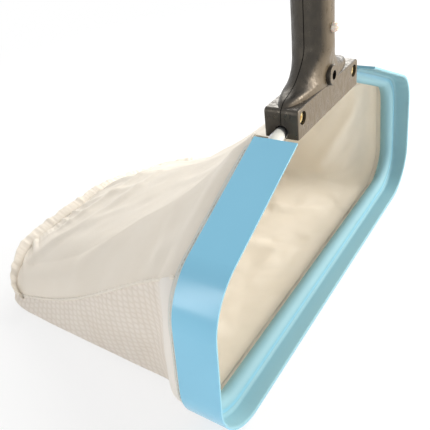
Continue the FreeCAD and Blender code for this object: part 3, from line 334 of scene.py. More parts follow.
@dataclass(frozen=True)
class WovenPolyester(Finish):
    """Plain woven polyester net cloth: thin, cream, with a soft sheen, and it lets some light
    through. Its threads are 0.3 mm apart, too fine to show, so the weave is drawn at thread_mm."""

    name: str = "woven_polyester"
    colour: str = "F5EFE5"
    shade_colour: str = "ECE4D7"
    thread_mm: float = 1.1
    thread_height_mm: float = 0.03
    thread_shade: float = -0.25
    cloud_mm: float = 38.0
    crinkle_mm: float = 11.0
    crinkle_height_mm: float = 0.45
    crinkle_stretch: Point = (1.0, 1.0, 1.0)
    crinkle_detail: float = 2.5
    glow: float = 0.16

    def paint(self, add: AddNode, place: bpy.types.NodeSocket) -> bpy.types.Node:
        """Add the nodes of one woven cloth.

        Args:
            add: Adds a node to the material.
            place: The Object coordinates, in metres.

        Returns:
            The shader that ends them.
        """
        cut = add("UVMap", {"uv_map": "UVMap"})
        warp, weft = (add("TexWave", {"bands_direction": way}, {
            "Vector": cut, "Scale": bands_per_metre(self.thread_mm), "Distortion": 0.6,
            "Detail Scale": 0.5}).outputs["Fac"] for way in "XY")
        weave = add("Math", TIMES, {0: warp, 1: weft})
        drawn = add("VectorMath", TIMES, {0: place, 1: self.crinkle_stretch})
        crinkle = add("TexNoise", inputs={
            "Vector": drawn, "Scale": per_metre(self.crinkle_mm), "Detail": self.crinkle_detail,
            "Distortion": 0.8})
        cloud = add("TexNoise", inputs={
            "Vector": place, "Scale": per_metre(self.cloud_mm), "Detail": 3.0})
        tone = add("Math", TIMES_PLUS, {0: weave, 1: self.thread_shade, 2: cloud})
        colour = add("Mix", COLOURS, {
            "Factor": tone, MIX_A: linear(self.colour), MIX_B: linear(self.shade_colour)})
        folds = add("Bump", inputs={
            "Height": crinkle, "Strength": 0.5, "Distance": self.crinkle_height_mm * MM})
        threads = add("Bump", inputs={
            "Height": weave, "Strength": 0.5, "Distance": self.thread_height_mm * MM,
            "Normal": folds})
        return thin_cloth(add, colour, threads, self.glow)


@dataclass(frozen=True)
class PebbledMesh(Finish):
    """Knitted polyester mesh: staggered raised cells, each taller than it is wide, with painted
    shade in the pits between them; the hem's seam pulls the cells flat beside the hoop."""

    name: str = "pebbled_mesh"
    colour: str = "F3EDE6"
    pit_shade_colour: str = "EAE3DA"
    flat_colour: str = "F2EEE8"
    cloud_colour: str = "F3F0EC"
    cloud_mm: float = 24.0
    cell_mm: Pair = (4.9, 6.2)
    cell_height_mm: float = 0.40
    cell_edge: Pair = (0.05, 0.75)
    drift_mm: float = 30.0
    drift_by: Point = (4.0 * MM, 4.0 * MM, 0.0)
    flat_to: Pair = (0.024, 0.036)
    glow: float = 0.16

    def paint(self, add: AddNode, place: bpy.types.NodeSocket) -> bpy.types.Node:
        """Add the nodes of the bag's floor and lower sides.

        Args:
            add: Adds a node to the material.
            place: The Object coordinates, in metres.

        Returns:
            The shader that ends them.
        """
        cut = add("UVMap", {"uv_map": "UVMap"})
        drift = add("TexNoise", inputs={
            "Vector": cut, "Scale": per_metre(self.drift_mm), "Detail": 1.0})
        nudge = add("VectorMath", TIMES_PLUS, {
            0: drift.outputs["Color"], 1: self.drift_by, 2: cut})
        parts = add("SeparateXYZ", inputs={0: nudge})
        column = add("Math", {"operation": "DIVIDE"}, {
            0: parts.outputs["Y"], 1: self.cell_mm[1] * MM})
        number = add("Math", {"operation": "FLOOR"}, {0: column})
        shift = add("Math", TIMES, {0: number, 1: 0.5})
        row = add("Math", TIMES_PLUS, {
            0: parts.outputs["X"], 1: per_metre(self.cell_mm[0]), 2: shift})
        waves = []
        for count in (row, column):
            turn = add("Math", TIMES, {0: count, 1: math.pi})
            wave = add("Math", {"operation": "SINE"}, {0: turn})
            waves.append(add("Math", {"operation": "ABSOLUTE"}, {0: wave}))
        cells = add("Math", TIMES, dict(enumerate(waves)))
        height = add("MapRange", EASED, {"Value": cells} | ends("From", self.cell_edge))
        back = add("SeparateXYZ", inputs={0: place}).outputs["Y"]
        shown = add("MapRange", EASED, {"Value": back} | ends("From", self.flat_to))
        relief = add("Math", TIMES, {0: height, 1: shown})
        cloud = add("TexNoise", inputs={
            "Vector": place, "Scale": per_metre(self.cloud_mm), "Detail": 3.0})
        # Painted shade: the pits between the raised cells are darker than the cells' tops.
        pit_shade = add("Mix", COLOURS, {
            "Factor": height, MIX_A: linear(self.pit_shade_colour), MIX_B: linear(self.colour)})
        mottled_pit_shade = add("Mix", COLOURS | {"blend_type": "MULTIPLY"}, {
            "Factor": cloud, MIX_A: pit_shade, MIX_B: linear(self.cloud_colour)})
        colour = add("Mix", COLOURS, {
            "Factor": shown, MIX_A: linear(self.flat_colour), MIX_B: mottled_pit_shade})
        bump = add("Bump", inputs={
            "Height": relief, "Strength": 0.7, "Distance": self.cell_height_mm * MM})
        return thin_cloth(add, colour, bump, self.glow)


@dataclass(frozen=True)
class SpunThread(Finish):
    """Spun polyester sewing thread: off-white and fuzzy, twisted at about 1 mm."""

    name: str = "spun_thread"
    colour: str = "F0EBE2"
    shade_colour: str = "DDD5C8"
    twist_mm: float = 1.0
    twist_height_mm: float = 0.2

    def paint(self, add: AddNode, place: bpy.types.NodeSocket) -> bpy.types.Node:
        """Add the nodes of the stitches.

        Args:
            add: Adds a node to the material.
            place: The Object coordinates, in metres.

        Returns:
            The shader that ends them.
        """
        twist = add("TexNoise", inputs={
            "Vector": place, "Scale": per_metre(self.twist_mm), "Detail": 2.0})
        colour = add("Mix", COLOURS, {
            "Factor": twist, MIX_A: linear(self.colour), MIX_B: linear(self.shade_colour)})
        bump = add("Bump", inputs={
            "Height": twist, "Strength": 0.5, "Distance": self.twist_height_mm * MM})
        return add("BsdfPrincipled", inputs={
            "Base Color": colour, "Roughness": 0.75, "Normal": bump,
            "Specular IOR Level": 0.3, "Sheen Weight": 0.2, "Sheen Roughness": 0.5})


@dataclass(frozen=True)
class PlatedMetal(Finish):
    """A metal piece with a plated or rolled surface: the tint drifts a little and fine scratches
    catch light."""

    colour: str
    tint: str
    roughness: float
    gloss_spread: Pair = (0.8, 1.3)
    cloud_mm: float = 3.0
    scratch_mm: float = 0.6
    scratch_height_mm: float = 0.03

    def paint(self, add: AddNode, place: bpy.types.NodeSocket) -> bpy.types.Node:
        """Add the nodes of one metal.

        Args:
            add: Adds a node to the material.
            place: The Object coordinates, in metres.

        Returns:
            The shader that ends them.
        """
        cloud = add("TexNoise", inputs={
            "Vector": place, "Scale": per_metre(self.cloud_mm), "Detail": 3.0})
        scratch = add("TexNoise", inputs={
            "Vector": place, "Scale": per_metre(self.scratch_mm), "Detail": 5.0,
            "Distortion": 1.5})
        colour = add("Mix", COLOURS, {
            "Factor": cloud, MIX_A: linear(self.colour), MIX_B: linear(self.tint)})
        smoothest, roughest = (self.roughness * share for share in self.gloss_spread)
        gloss = add("MapRange", inputs={"Value": scratch} | ends("To", (smoothest, roughest)))
        bump = add("Bump", inputs={
            "Height": scratch, "Strength": 0.25, "Distance": self.scratch_height_mm * MM})
        return add("BsdfPrincipled", inputs={
            "Base Color": colour, "Metallic": 1.0, "Roughness": gloss, "Normal": bump})


@dataclass(frozen=True)
class TurnedAcetal(Finish):
    """White acetal rod, turned: waxy and smooth, with faint rings from the tool."""

    name: str = "turned_acetal"
    colour: str = "E2D8CC"
    shade_colour: str = "D2C5B7"
    cloud_mm: float = 2.5
    ring_mm: float = 0.5
    ring_height_mm: float = 0.02

    def paint(self, add: AddNode, place: bpy.types.NodeSocket) -> bpy.types.Node:
        """Add the nodes of the clip's button.

        Args:
            add: Adds a node to the material.
            place: The Object coordinates, in metres.

        Returns:
            The shader that ends them.
        """
        rings = add("TexWave", {"bands_direction": "Y"}, {
            "Vector": place, "Scale": bands_per_metre(self.ring_mm)})
        cloud = add("TexNoise", inputs={"Vector": place, "Scale": per_metre(self.cloud_mm)})
        colour = add("Mix", COLOURS, {
            "Factor": cloud, MIX_A: linear(self.colour), MIX_B: linear(self.shade_colour)})
        bump = add("Bump", inputs={
            "Height": rings.outputs["Fac"], "Strength": 0.2,
            "Distance": self.ring_height_mm * MM})
        return add("BsdfPrincipled", inputs={
            "Base Color": colour, "Roughness": 0.3, "Normal": bump, "IOR": 1.48,
            "Subsurface Weight": 0.25, "Subsurface Scale": 2.0 * MM})


def clear_selection() -> None:
    """Deselect every object."""
    for item in bpy.context.selected_objects:
        item.select_set(False)


def pick(item: bpy.types.Object) -> None:
    """Select one object alone and make it the active one.

    Args:
        item: The object.
    """
    clear_selection()
    item.select_set(True)
    bpy.context.view_layer.objects.active = item


def add_object(name: str, data: bpy.types.ID) -> bpy.types.Object:
    """Put a new object into the scene.

    Args:
        name: Its name.
        data: Its mesh, light or camera.

    Returns:
        The object.
    """
    item = bpy.data.objects.new(name, data)
    bpy.context.collection.objects.link(item)
    return item


def apply_modifier(item: bpy.types.Object, kind: str, settings: dict) -> None:
    """Add one modifier with its settings and apply it.

    Args:
        item: The piece.
        kind: The modifier's type.
        settings: Property values by name.
    """
    pick(item)
    modifier = item.modifiers.new(kind.lower(), kind)
    for name, value in settings.items():
        setattr(modifier, name, value)
    bpy.ops.object.modifier_apply(modifier=modifier.name)


def thicken(item: bpy.types.Object, thickness: float, *sides: bpy.types.Material) -> None:
    """Give a cloth its thickness, and a material on each side where two are given.

    Args:
        item: The cloth, one sheet of faces.
        thickness: Its thickness, in metres.
        sides: The materials of the side that its faces look to and of the other side.
    """
    item.data.materials.clear()
    for side in sides:
        item.data.materials.append(side)
    apply_modifier(item, "SOLIDIFY", {
        "thickness": thickness, "offset": 0.0, "material_offset": len(sides) // 2})


def smooth(item: bpy.types.Object, angle_deg: float) -> None:
    """Shade a piece smooth, apart from edges sharper than an angle."""
    pick(item)
    bpy.ops.object.shade_smooth_by_angle(angle=math.radians(angle_deg))


def mend(item: bpy.types.Object, close: bool = False, outward: bool = True) -> None:
    """Merge the points of a mesh that meet.

    Args:
        item: The piece.
        close: Whether its open ends are closed too.
        outward: Whether its faces are turned outwards too.
    """
    pick(item)
    bpy.ops.object.mode_set(mode="EDIT")
    bpy.ops.mesh.select_all(action="SELECT")
    bpy.ops.mesh.remove_doubles(threshold=MERGE_GAP)
    if close:
        bpy.ops.mesh.select_all(action="DESELECT")
        bpy.ops.mesh.select_mode(type="EDGE")
        bpy.ops.mesh.select_non_manifold()
        bpy.ops.mesh.fill_holes(sides=0)
        bpy.ops.mesh.select_all(action="SELECT")
    if outward:
        bpy.ops.mesh.normals_make_consistent(inside=False)
    bpy.ops.object.mode_set(mode="OBJECT")


def cut_cloth(name: str, grid: tuple[int, int], place: Place) -> bpy.types.Object:
    """Lay out a flat grid of cloth and put each of its points in place.

    Args:
        name: The piece's name.
        grid: Points across and along.
        place: Takes the points' shares across and along, and returns their places and then their
            flat places on the cut cloth, as five columns.

    Returns:
        The cloth, with a UV map in metres.
    """
    clear_selection()
    bpy.ops.mesh.primitive_grid_add(x_subdivisions=grid[0] - 1, y_subdivisions=grid[1] - 1, size=1)
    item = bpy.context.object
    item.name = name
    mesh = item.data
    flat = np.empty(len(mesh.vertices) * 3)
    mesh.vertices.foreach_get("co", flat)
    flat = flat.reshape(-1, 3) + 0.5
    placed = place(flat[:, 0], flat[:, 1])
    mesh.vertices.foreach_set("co", placed[:, :3].ravel())
    layer = mesh.uv_layers[0]
    layer.name = "UVMap"
    corner = np.empty(len(mesh.loops), dtype=np.int64)
    mesh.loops.foreach_get("vertex_index", corner)
    layer.data.foreach_set("uv", placed[corner, 3:].ravel())
    mesh.update()
    return item


def face_up(item: bpy.types.Object, up: bool) -> None:
    """Turn a sheet's faces so that they look up or down.

    Args:
        item: The sheet, before it has its thickness.
        up: Whether they look up.
    """
    mean = sum(polygon.normal.z * polygon.area for polygon in item.data.polygons)
    if (mean > 0) != up:
        item.data.flip_normals()


def dress(item: bpy.types.Object, material: bpy.types.Material | None = None,
          stands_for: str = "") -> None:
    """Put a new piece on the net and its material.

    Args:
        item: The piece.
        material: Its material, or None where it has its own already.
        stands_for: The node of the frame that it replaces, if it replaces one.
    """
    if material is not None:
        item.data.materials.clear()
        item.data.materials.append(material)
    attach(item, NET)
    if stands_for:
        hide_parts(stands_for)
    LOG.info("%s: %s", item.name, ", ".join(sheet.name for sheet in item.data.materials))


def ease(values: np.ndarray) -> np.ndarray:
    """Smooth step from 0 to 1 over the same range."""
    clipped = np.clip(values, 0, 1)
    return clipped * clipped * (3 - 2 * clipped)


def arch(share: np.ndarray) -> np.ndarray:
    """A parabola over a share from 0 to 1: 0 at both ends and 1 in the middle."""
    return 4 * share * (1 - share)


def unit(vectors: np.ndarray) -> np.ndarray:
    """One vector, or each row of many, at a length of 1."""
    return vectors / np.linalg.norm(vectors, axis=-1, keepdims=True)


def spline(knots: Sequence[float], heights: Sequence[float], at: np.ndarray) -> np.ndarray:
    """A smooth curve through points, without overshoot.

    Args:
        knots: Rising places of the points.
        heights: The points' values.
        at: Where to read the curve.

    Returns:
        The curve's values.
    """
    x = np.asarray(knots, float)
    y = np.asarray(heights, float)
    slopes = np.diff(y) / np.diff(x)
    tangents = np.concatenate([[slopes[0]], (slopes[1:] + slopes[:-1]) / 2, [slopes[-1]]])
    tangents[1:-1][slopes[1:] * slopes[:-1] <= 0] = 0
    steps = np.abs(slopes)
    limit = 3 * np.minimum(np.append(steps, steps[-1]), np.insert(steps, 0, steps[0]))
    tangents = np.clip(tangents, -limit, limit)
    index = np.clip(np.searchsorted(x, at) - 1, 0, len(x) - 2)
    width = np.diff(x)[index]
    s = (at - x[index]) / width
    return ((2 * s**3 - 3 * s**2 + 1) * y[index] + (s**3 - 2 * s**2 + s) * width * tangents[index]
            + (3 * s**2 - 2 * s**3) * y[index + 1] + (s**3 - s**2) * width * tangents[index + 1])


def along(points: np.ndarray, share: np.ndarray) -> tuple[np.ndarray, np.ndarray, float]:
    """Read a path at shares of its length.

    Args:
        points: The path's points.
        share: Where to read it, from 0 to 1.

    Returns:
        The places, the unit directions there, and the path's length.
    """
    steps = np.linalg.norm(np.diff(points, axis=0), axis=1)
    reach = np.concatenate([[0], np.cumsum(steps)])

    def read(run: np.ndarray) -> np.ndarray:
        """Places at lengths along the path."""
        return np.column_stack([np.interp(run, reach, column) for column in points.T])

    at = share * reach[-1]
    return read(at), unit(read(at + MM) - read(at - MM)), float(reach[-1])


@dataclass(frozen=True)
class HoopPath:
    """The hoop rod's centreline, which the hem and the mouth of the bag follow."""

    rod_radius: float = 4.0 * MM
    bottom: float = 6.4 * MM
    corner_half: float = 183.0 * MM
    shoulder_half: float = 170.9 * MM
    shoulder_height: float = 115.1 * MM
    top: float = 162.6 * MM
    bend_half: float = 62.8 * MM
    end_half: float = 57.0 * MM
    corner_radius: float = 32.2 * MM
    shoulder_radius: float = 39.2 * MM
    bend_radius: float = 20.0 * MM
    arc_points: int = 14

    def half(self) -> np.ndarray:
        """Lay out the right half of the path.

        Returns:
            Points as X and Z, from the middle of the bottom to the end of the top run.
        """
        corners = np.array((
            (0.0, self.bottom), (self.corner_half, self.bottom),
            (self.shoulder_half, self.shoulder_height), (self.bend_half, self.top),
            (self.end_half, self.top)))
        points = [corners[0]]
        radii = (self.corner_radius, self.shoulder_radius, self.bend_radius)
        for index, radius in enumerate(radii, 1):
            before = unit(corners[index - 1] - corners[index])
            after = unit(corners[index + 1] - corners[index])
            half = math.acos(float(before @ after)) / 2
            reach = radius / math.tan(half)
            centre = corners[index] + unit(before + after) * radius / math.sin(half)
            start = corners[index] + before * reach - centre
            end = corners[index] + after * reach - centre
            turn = math.atan2(start[0] * end[1] - start[1] * end[0], float(start @ end))
            for step in np.linspace(0, turn, self.arc_points):
                cosine, sine = math.cos(step), math.sin(step)
                points.append(centre + np.array((start[0] * cosine - start[1] * sine,
                                                 start[0] * sine + start[1] * cosine)))
        points.append(corners[-1])
        return np.array(points)

    def read(self, share: np.ndarray) -> tuple[np.ndarray, np.ndarray, np.ndarray, float]:
        """Read the path from the left end of the top run round to the right end.

        Args:
            share: Where to read it, from 0 to 1.

        Returns:
            The places, the unit directions there, the directions out of the hoop, as X and Z, and
            the path's length.
        """
        right = self.half()
        place, way, length = along(np.vstack([right[::-1] * (-1, 1), right[1:]]), share)
        return place, way, np.column_stack([way[:, 1], -way[:, 0]]), length


@dataclass(frozen=True)
class Fold:
    """One long soft fold of the cloth, over a line in plan that bows sideways."""

    start: Pair
    end: Pair
    bow: float
    width: float
    height: float
    fade: float = 0.25

    def lift(self, x: np.ndarray, y: np.ndarray) -> np.ndarray:
        """How far the fold lifts the cloth.

        Args:
            x: Places across, in metres.
            y: Places back, in metres.

        Returns:
            The lift, in metres.
        """
        run = np.array(self.end) - np.array(self.start)
        length = float(np.linalg.norm(run))
        way = run / length
        right, back = x - self.start[0], y - self.start[1]
        share = (right * way[0] + back * way[1]) / length
        off = back * way[0] - right * way[1] - self.bow * arch(share)
        faded = ease(share / self.fade) * ease((1 - share) / self.fade)
        return self.height * faded * np.exp(-(off / self.width) ** 2)


@dataclass(frozen=True)
class Gathers:
    """Uneven gathers along a sewn edge: a few waves, each of which wanders off its pitch."""

    seed: int
    pitch: float
    waves: tuple[float, ...] = (1.0, 1.37, 0.61, 2.3)
    wander: float = 0.9
    wander_pitch: float = 5.3
    evenness: float = 0.6
    level: float = 1.6

    def heights(self, run: np.ndarray) -> np.ndarray:
        """The gathers' heights.

        Args:
            run: Places along the seam, in metres.

        Returns:
            Heights between about -1 and 1.
        """
        draw = np.random.default_rng(self.seed)
        turns = 2 * math.pi * run / self.pitch
        total = np.zeros_like(run)
        for wave in self.waves:
            phase = draw.uniform(0, 2 * math.pi)
            wander = self.wander * np.sin(turns / self.wander_pitch + draw.uniform(0, 2 * math.pi))
            total += np.sin(turns * wave + phase + wander) / (self.evenness + wave)
        return total / self.level


@dataclass(frozen=True)
class SideShape:
    """One side of the bag: where its corners lie at each station behind the hoop, and how much of
    the slope to its ridge is done half way."""

    lift: tuple[float, ...]
    side: tuple[float, ...]
    seam_half: tuple[float, ...]
    seam_height: tuple[float, ...]
    ridge_half: tuple[float, ...]
    ridge_height: tuple[float, ...]
    fall: tuple[float, ...] = (0.25,) * 7


LEFT_SIDE = SideShape(
    lift=(0.0016, 0.0004, 0.0004, 0.0004, 0.0004, 0.0030, 0.0296),
    side=(0.1842, 0.1600, 0.1585, 0.1580, 0.1565, 0.1520, 0.1040),
    seam_half=(0.1645, 0.1590, 0.1550, 0.1515, 0.1490, 0.1480, 0.1050),
    seam_height=(0.1205, 0.0990, 0.0700, 0.0430, 0.0220, 0.0140, 0.0300),
    ridge_half=(0.0693, 0.0950, 0.1050, 0.1220, 0.1300, 0.1300, 0.1020),
    ridge_height=(0.1650, 0.1310, 0.1010, 0.0730, 0.0500, 0.0350, 0.0306))

RIGHT_SIDE = SideShape(
    lift=(0.0016, 0.0004, 0.0004, 0.0004, 0.0004, 0.0010, 0.0078),
    side=(0.1842, 0.1600, 0.1560, 0.1510, 0.1400, 0.1200, 0.0880),
    seam_half=(0.1645, 0.1590, 0.1520, 0.1490, 0.1405, 0.1205, 0.0885),
    seam_height=(0.1205, 0.0990, 0.0620, 0.0340, 0.0140, 0.0085, 0.0086),
    ridge_half=(0.0693, 0.0950, 0.1050, 0.1200, 0.1220, 0.1060, 0.0850),
    ridge_height=(0.1650, 0.1310, 0.0850, 0.0500, 0.0210, 0.0125, 0.0094),
    fall=(0.25, 0.25, 0.43, 0.60, 0.43, 0.35, 0.42))


def slope(start: float, end: float, fall: float, share: np.ndarray) -> np.ndarray:
    """Heights from a start to an end, with the given share of the way done in the middle."""
    return start + (end - start) * share * (1 - 4 * (0.5 - fall) * (1 - share))


def rounded(points: np.ndarray, corner: int, reach: float) -> np.ndarray:
    """Round one corner of an outline.

    Args:
        points: The outline.
        corner: The corner's number.
        reach: How far the rounding goes on each side of it.

    Returns:
        The rounded outline, with the same number of points.
    """
    if reach < MERGE_GAP:
        return points
    place = points[corner]
    gaps = np.linalg.norm(points - place, axis=1)[:, None]
    before = (np.arange(len(points)) < corner)[:, None]
    back, ahead = unit(points[0] - place), unit(points[-1] - place)
    share = (np.where(before, -gaps, gaps) / reach + 1) / 2
    bent = reach * ((1 - share) ** 2 * back + share ** 2 * ahead)
    straight = gaps * np.where(before, back, ahead)
    return points + np.where(gaps < reach, bent - straight, 0.0)


@dataclass(frozen=True)
class SideSeam:
    """The folded, overlocked seam on one side: a soft cord of cloth that beads between stitches."""

    stitch: float = 5.2 * MM
    radius: float = 0.5 * MM
    bead: float = 0.75 * MM
    bead_power: float = 0.6
    height: float = 1.25
    clear: float = 0.4 * MM
    girth: float = 8.0 * MM
    sharp_deg: float = 80.0
    grid: tuple[int, int] = (11, 420)

    def build(self, name: str, line: np.ndarray, side: int) -> bpy.types.Object:
        """Make one seam.

        Args:
            name: The piece's name.
            line: Points of the seam, from the mouth to the closed end.
            side: -1 for the left, 1 for the right.

        Returns:
            The seam.
        """
        def place(u: np.ndarray, v: np.ndarray) -> np.ndarray:
            """Wrap the cloth round the seam's line.

            Args:
                u: Shares round the cord.
                v: Shares along it.

            Returns:
                Five columns, as cut_cloth takes them.
            """
            centre, way, length = along(line, v)
            out = unit(np.cross(way, UP)) * side
            up = np.cross(out, way) * side
            bead = np.abs(np.sin(math.pi * v * length / self.stitch)) ** self.bead_power
            radius = self.radius + self.bead * bead
            turn = 2 * math.pi * u
            point = (centre + out * (radius * np.cos(turn) + self.clear)[:, None]
                     + up * (radius * self.height * np.sin(turn))[:, None])
            return np.column_stack([point, u * self.girth, v * length])

        seam = cut_cloth(name, self.grid, place)
        mend(seam, close=True)
        smooth(seam, self.sharp_deg)
        return seam


@dataclass(frozen=True)
class TailCasing:
    """The gathered casing round the closed end, which stands up and back in ruffles."""

    corners: tuple[Point, ...] = (
        (-0.1485, 0.2130, 0.0085), (-0.1450, 0.2250, 0.0140), (-0.1280, 0.2380, 0.0240),
        (-0.1000, 0.2490, 0.0300), (-0.0500, 0.2510, 0.0315), (0.0000, 0.2510, 0.0305),
        (0.0500, 0.2505, 0.0200), (0.0860, 0.2470, 0.0095), (0.1100, 0.2320, 0.0080),
        (0.1220, 0.2180, 0.0070))
    width: float = 11.0 * MM
    thick: float = 2.6 * MM
    lean_deg: Pair = (62.0, 28.0)
    lean_over: float = 100.0 * MM
    end_over: float = 6.0 * MM
    end_share: float = 0.3
    least_back: float = 0.25
    edge: Gathers = Gathers(43, 21.0 * MM)
    edge_share: float = 0.07
    puff: Gathers = Gathers(47, 8.5 * MM)
    puff_share: float = 0.2
    ruffle: Gathers = Gathers(41, 13.5 * MM)
    ruffle_height: float = 0.6 * MM
    ruffle_start: float = 0.25
    line_points: int = 500
    sharp_deg: float = 80.0
    grid: tuple[int, int] = (19, 520)

    def line(self) -> np.ndarray:
        """The sewn line round the closed end.

        Returns:
            Its points, from the left corner to the right one.
        """
        last = len(self.corners) - 1
        at = np.linspace(0, last, self.line_points)
        return np.column_stack([
            spline(range(last + 1), column, at) for column in zip(*self.corners)])

    def build(self, name: str) -> bpy.types.Object:
        """Make the casing.

        Args:
            name: The piece's name.

        Returns:
            The casing.
        """
        line = self.line()

        def place(u: np.ndarray, v: np.ndarray) -> np.ndarray:
            """Fold the cloth over at the closed end.

            Args:
                u: Shares round the casing.
                v: Shares along it.

            Returns:
                Five columns, as cut_cloth takes them.
            """
            centre, way, length = along(line, v)
            out = -unit(np.cross(way, UP))
            out[:, 1] = np.maximum(out[:, 1], self.least_back)
            run = v * length
            turn = 2 * math.pi * u
            first, last = np.radians(self.lean_deg)
            lean = first + (last - first) * ease(run / self.lean_over)
            end = ease(run / self.end_over) * ease((length - run) / self.end_over)
            uneven = 1 - self.edge_share + self.edge_share * self.edge.heights(run)
            reach = self.width * (1 - np.cos(turn)) / 2 * uneven
            puffed = 1 - self.puff_share + self.puff_share * self.puff.heights(run)
            full = self.end_share + (1 - self.end_share) * end
            ruffle = self.ruffle_height * self.ruffle.heights(run)
            rise = (self.thick / 2 * np.sin(turn) * puffed * full
                    + ruffle * (self.ruffle_start + reach / self.width))
            point = centre + out * (np.cos(lean) * reach - rise * np.sin(lean))[:, None]
            point[:, 2] += np.sin(lean) * reach + rise * np.cos(lean)
            return np.column_stack([point, run, u * 2 * self.width])

        casing = cut_cloth(name, self.grid, place)
        mend(casing, close=True)
        smooth(casing, self.sharp_deg)
        return casing


@dataclass(frozen=True)
class Creases:
    """The folds and gathers of the bag's two cloths."""

    top: tuple[Fold, ...] = (
        Fold((-0.135, 0.245), (0.030, 0.165), -0.030, 0.0060, 0.0030),
        Fold((-0.110, 0.250), (0.060, 0.190), -0.022, 0.0050, 0.0030),
        Fold((-0.130, 0.225), (-0.060, 0.130), 0.010, 0.0070, 0.0018),
        Fold((-0.060, 0.255), (-0.030, 0.150), 0.012, 0.0060, 0.0020),
        Fold((0.010, 0.258), (0.020, 0.160), -0.012, 0.0070, 0.0018),
        Fold((0.070, 0.252), (0.050, 0.140), 0.010, 0.0065, 0.0018),
        Fold((-0.092, 0.062), (-0.166, 0.040), 0.004, 0.0060, 0.0022),
        Fold((-0.050, 0.030), (-0.030, 0.120), 0.010, 0.0090, 0.0016),
        Fold((0.055, 0.028), (0.020, 0.130), -0.012, 0.0090, 0.0016))
    floor: tuple[Fold, ...] = (
        Fold((-0.100, 0.020), (-0.070, 0.150), 0.010, 0.0080, 0.0030),
        Fold((0.020, 0.020), (-0.020, 0.170), -0.012, 0.0090, 0.0035),
        Fold((0.110, 0.022), (0.080, 0.150), 0.012, 0.0070, 0.0030),
        Fold((-0.020, 0.240), (0.000, 0.120), 0.010, 0.0080, 0.0020),
        Fold((-0.110, 0.235), (-0.090, 0.130), 0.010, 0.0070, 0.0020))
    mouth_over: float = 12.0 * MM
    seam_over: float = 0.05
    top_pull: Gathers = Gathers(11, 13.5 * MM)
    floor_pull: Gathers = Gathers(23, 13.5 * MM)
    pull_reach: float = 60.0 * MM
    pull_power: float = 1.8
    pull_spread: float = 0.35
    pull_height: float = 1.9 * MM
    sewn_over: float = 4.0 * MM
    sewn_share: float = 0.35
    soft_across: Gathers = Gathers(5, 61.0 * MM)
    soft_back: Gathers = Gathers(6, 73.0 * MM)
    soft_skew: Pair = (0.6, -0.4)
    soft_height: float = 1.0 * MM
    lying_to: float = 0.425
    lying_over: float = 0.15
    lying_height: float = 30.0 * MM
    least_share: float = 0.15
    drape: Gathers = Gathers(31, 42.0 * MM)
    drape_skew: Pair = (0.5, 0.9)
    drape_over: float = 0.3
    drape_depth: Pair = (1.2 * MM, 3.4 * MM)
    drape_from: float = 4.0 * MM
    drape_rise: float = 20.0 * MM

    def lift(self, panel: Panel, x: np.ndarray, y: np.ndarray, to_end: np.ndarray) -> np.ndarray:
        """How far the folds lift one cloth.

        Args:
            panel: Which cloth.
            x: Places across, in metres.
            y: Places back, in metres.
            to_end: How far the closed end lies behind them.

        Returns:
            The lift, in metres.
        """
        folds, pull = ((self.top, self.top_pull) if panel is Panel.TOP
                       else (self.floor, self.floor_pull))
        drawn = np.clip(1 - to_end / self.pull_reach, 0, 1) ** self.pull_power
        free = self.sewn_share + (1 - self.sewn_share) * ease(to_end / self.sewn_over)
        ruffles = self.pull_height * drawn * free * pull.heights(x * (1 + self.pull_spread * drawn))
        soft = (self.soft_across.heights(x + self.soft_skew[0] * y)
                * self.soft_back.heights(y + self.soft_skew[1] * x))
        return sum(fold.lift(x, y) for fold in folds) + ruffles + self.soft_height * soft

    def put(self, panel: Panel, place: np.ndarray, share: np.ndarray, side: np.ndarray,
            depth: Sequence[float]) -> np.ndarray:
        """Add the folds and gathers to a cloth's smooth form.

        Args:
            panel: Which cloth.
            place: The points of the smooth form.
            share: Their shares from the middle to the seam.
            side: -1 to the left of the middle, 1 to the right.
            depth: The stations from the mouth to the closed end.

        Returns:
            The points with their folds.
        """
        x, y, z = place.T
        held = ease((y - depth[0]) / self.mouth_over) * ease((1 - share) / self.seam_over)
        lift = self.lift(panel, x, y, depth[-1] - y)
        if panel is Panel.TOP:
            return np.column_stack([x, y, z + held * lift])
        lying = np.maximum(ease((self.lying_to - share) / self.lying_over), self.least_share)
        z = z + held * np.where(z < self.lying_height, np.abs(lift), lift) * lying
        wave = self.drape.heights(self.drape_skew[0] * z + self.drape_skew[1] * y)
        wave = wave * ease(share / self.drape_over) * ease((z - self.drape_from) / self.drape_rise)
        x = x + side * held * wave * np.where(side > 0, self.drape_depth[1], self.drape_depth[0])
        return np.column_stack([x, y, np.maximum(z, FLOOR_GAP)])


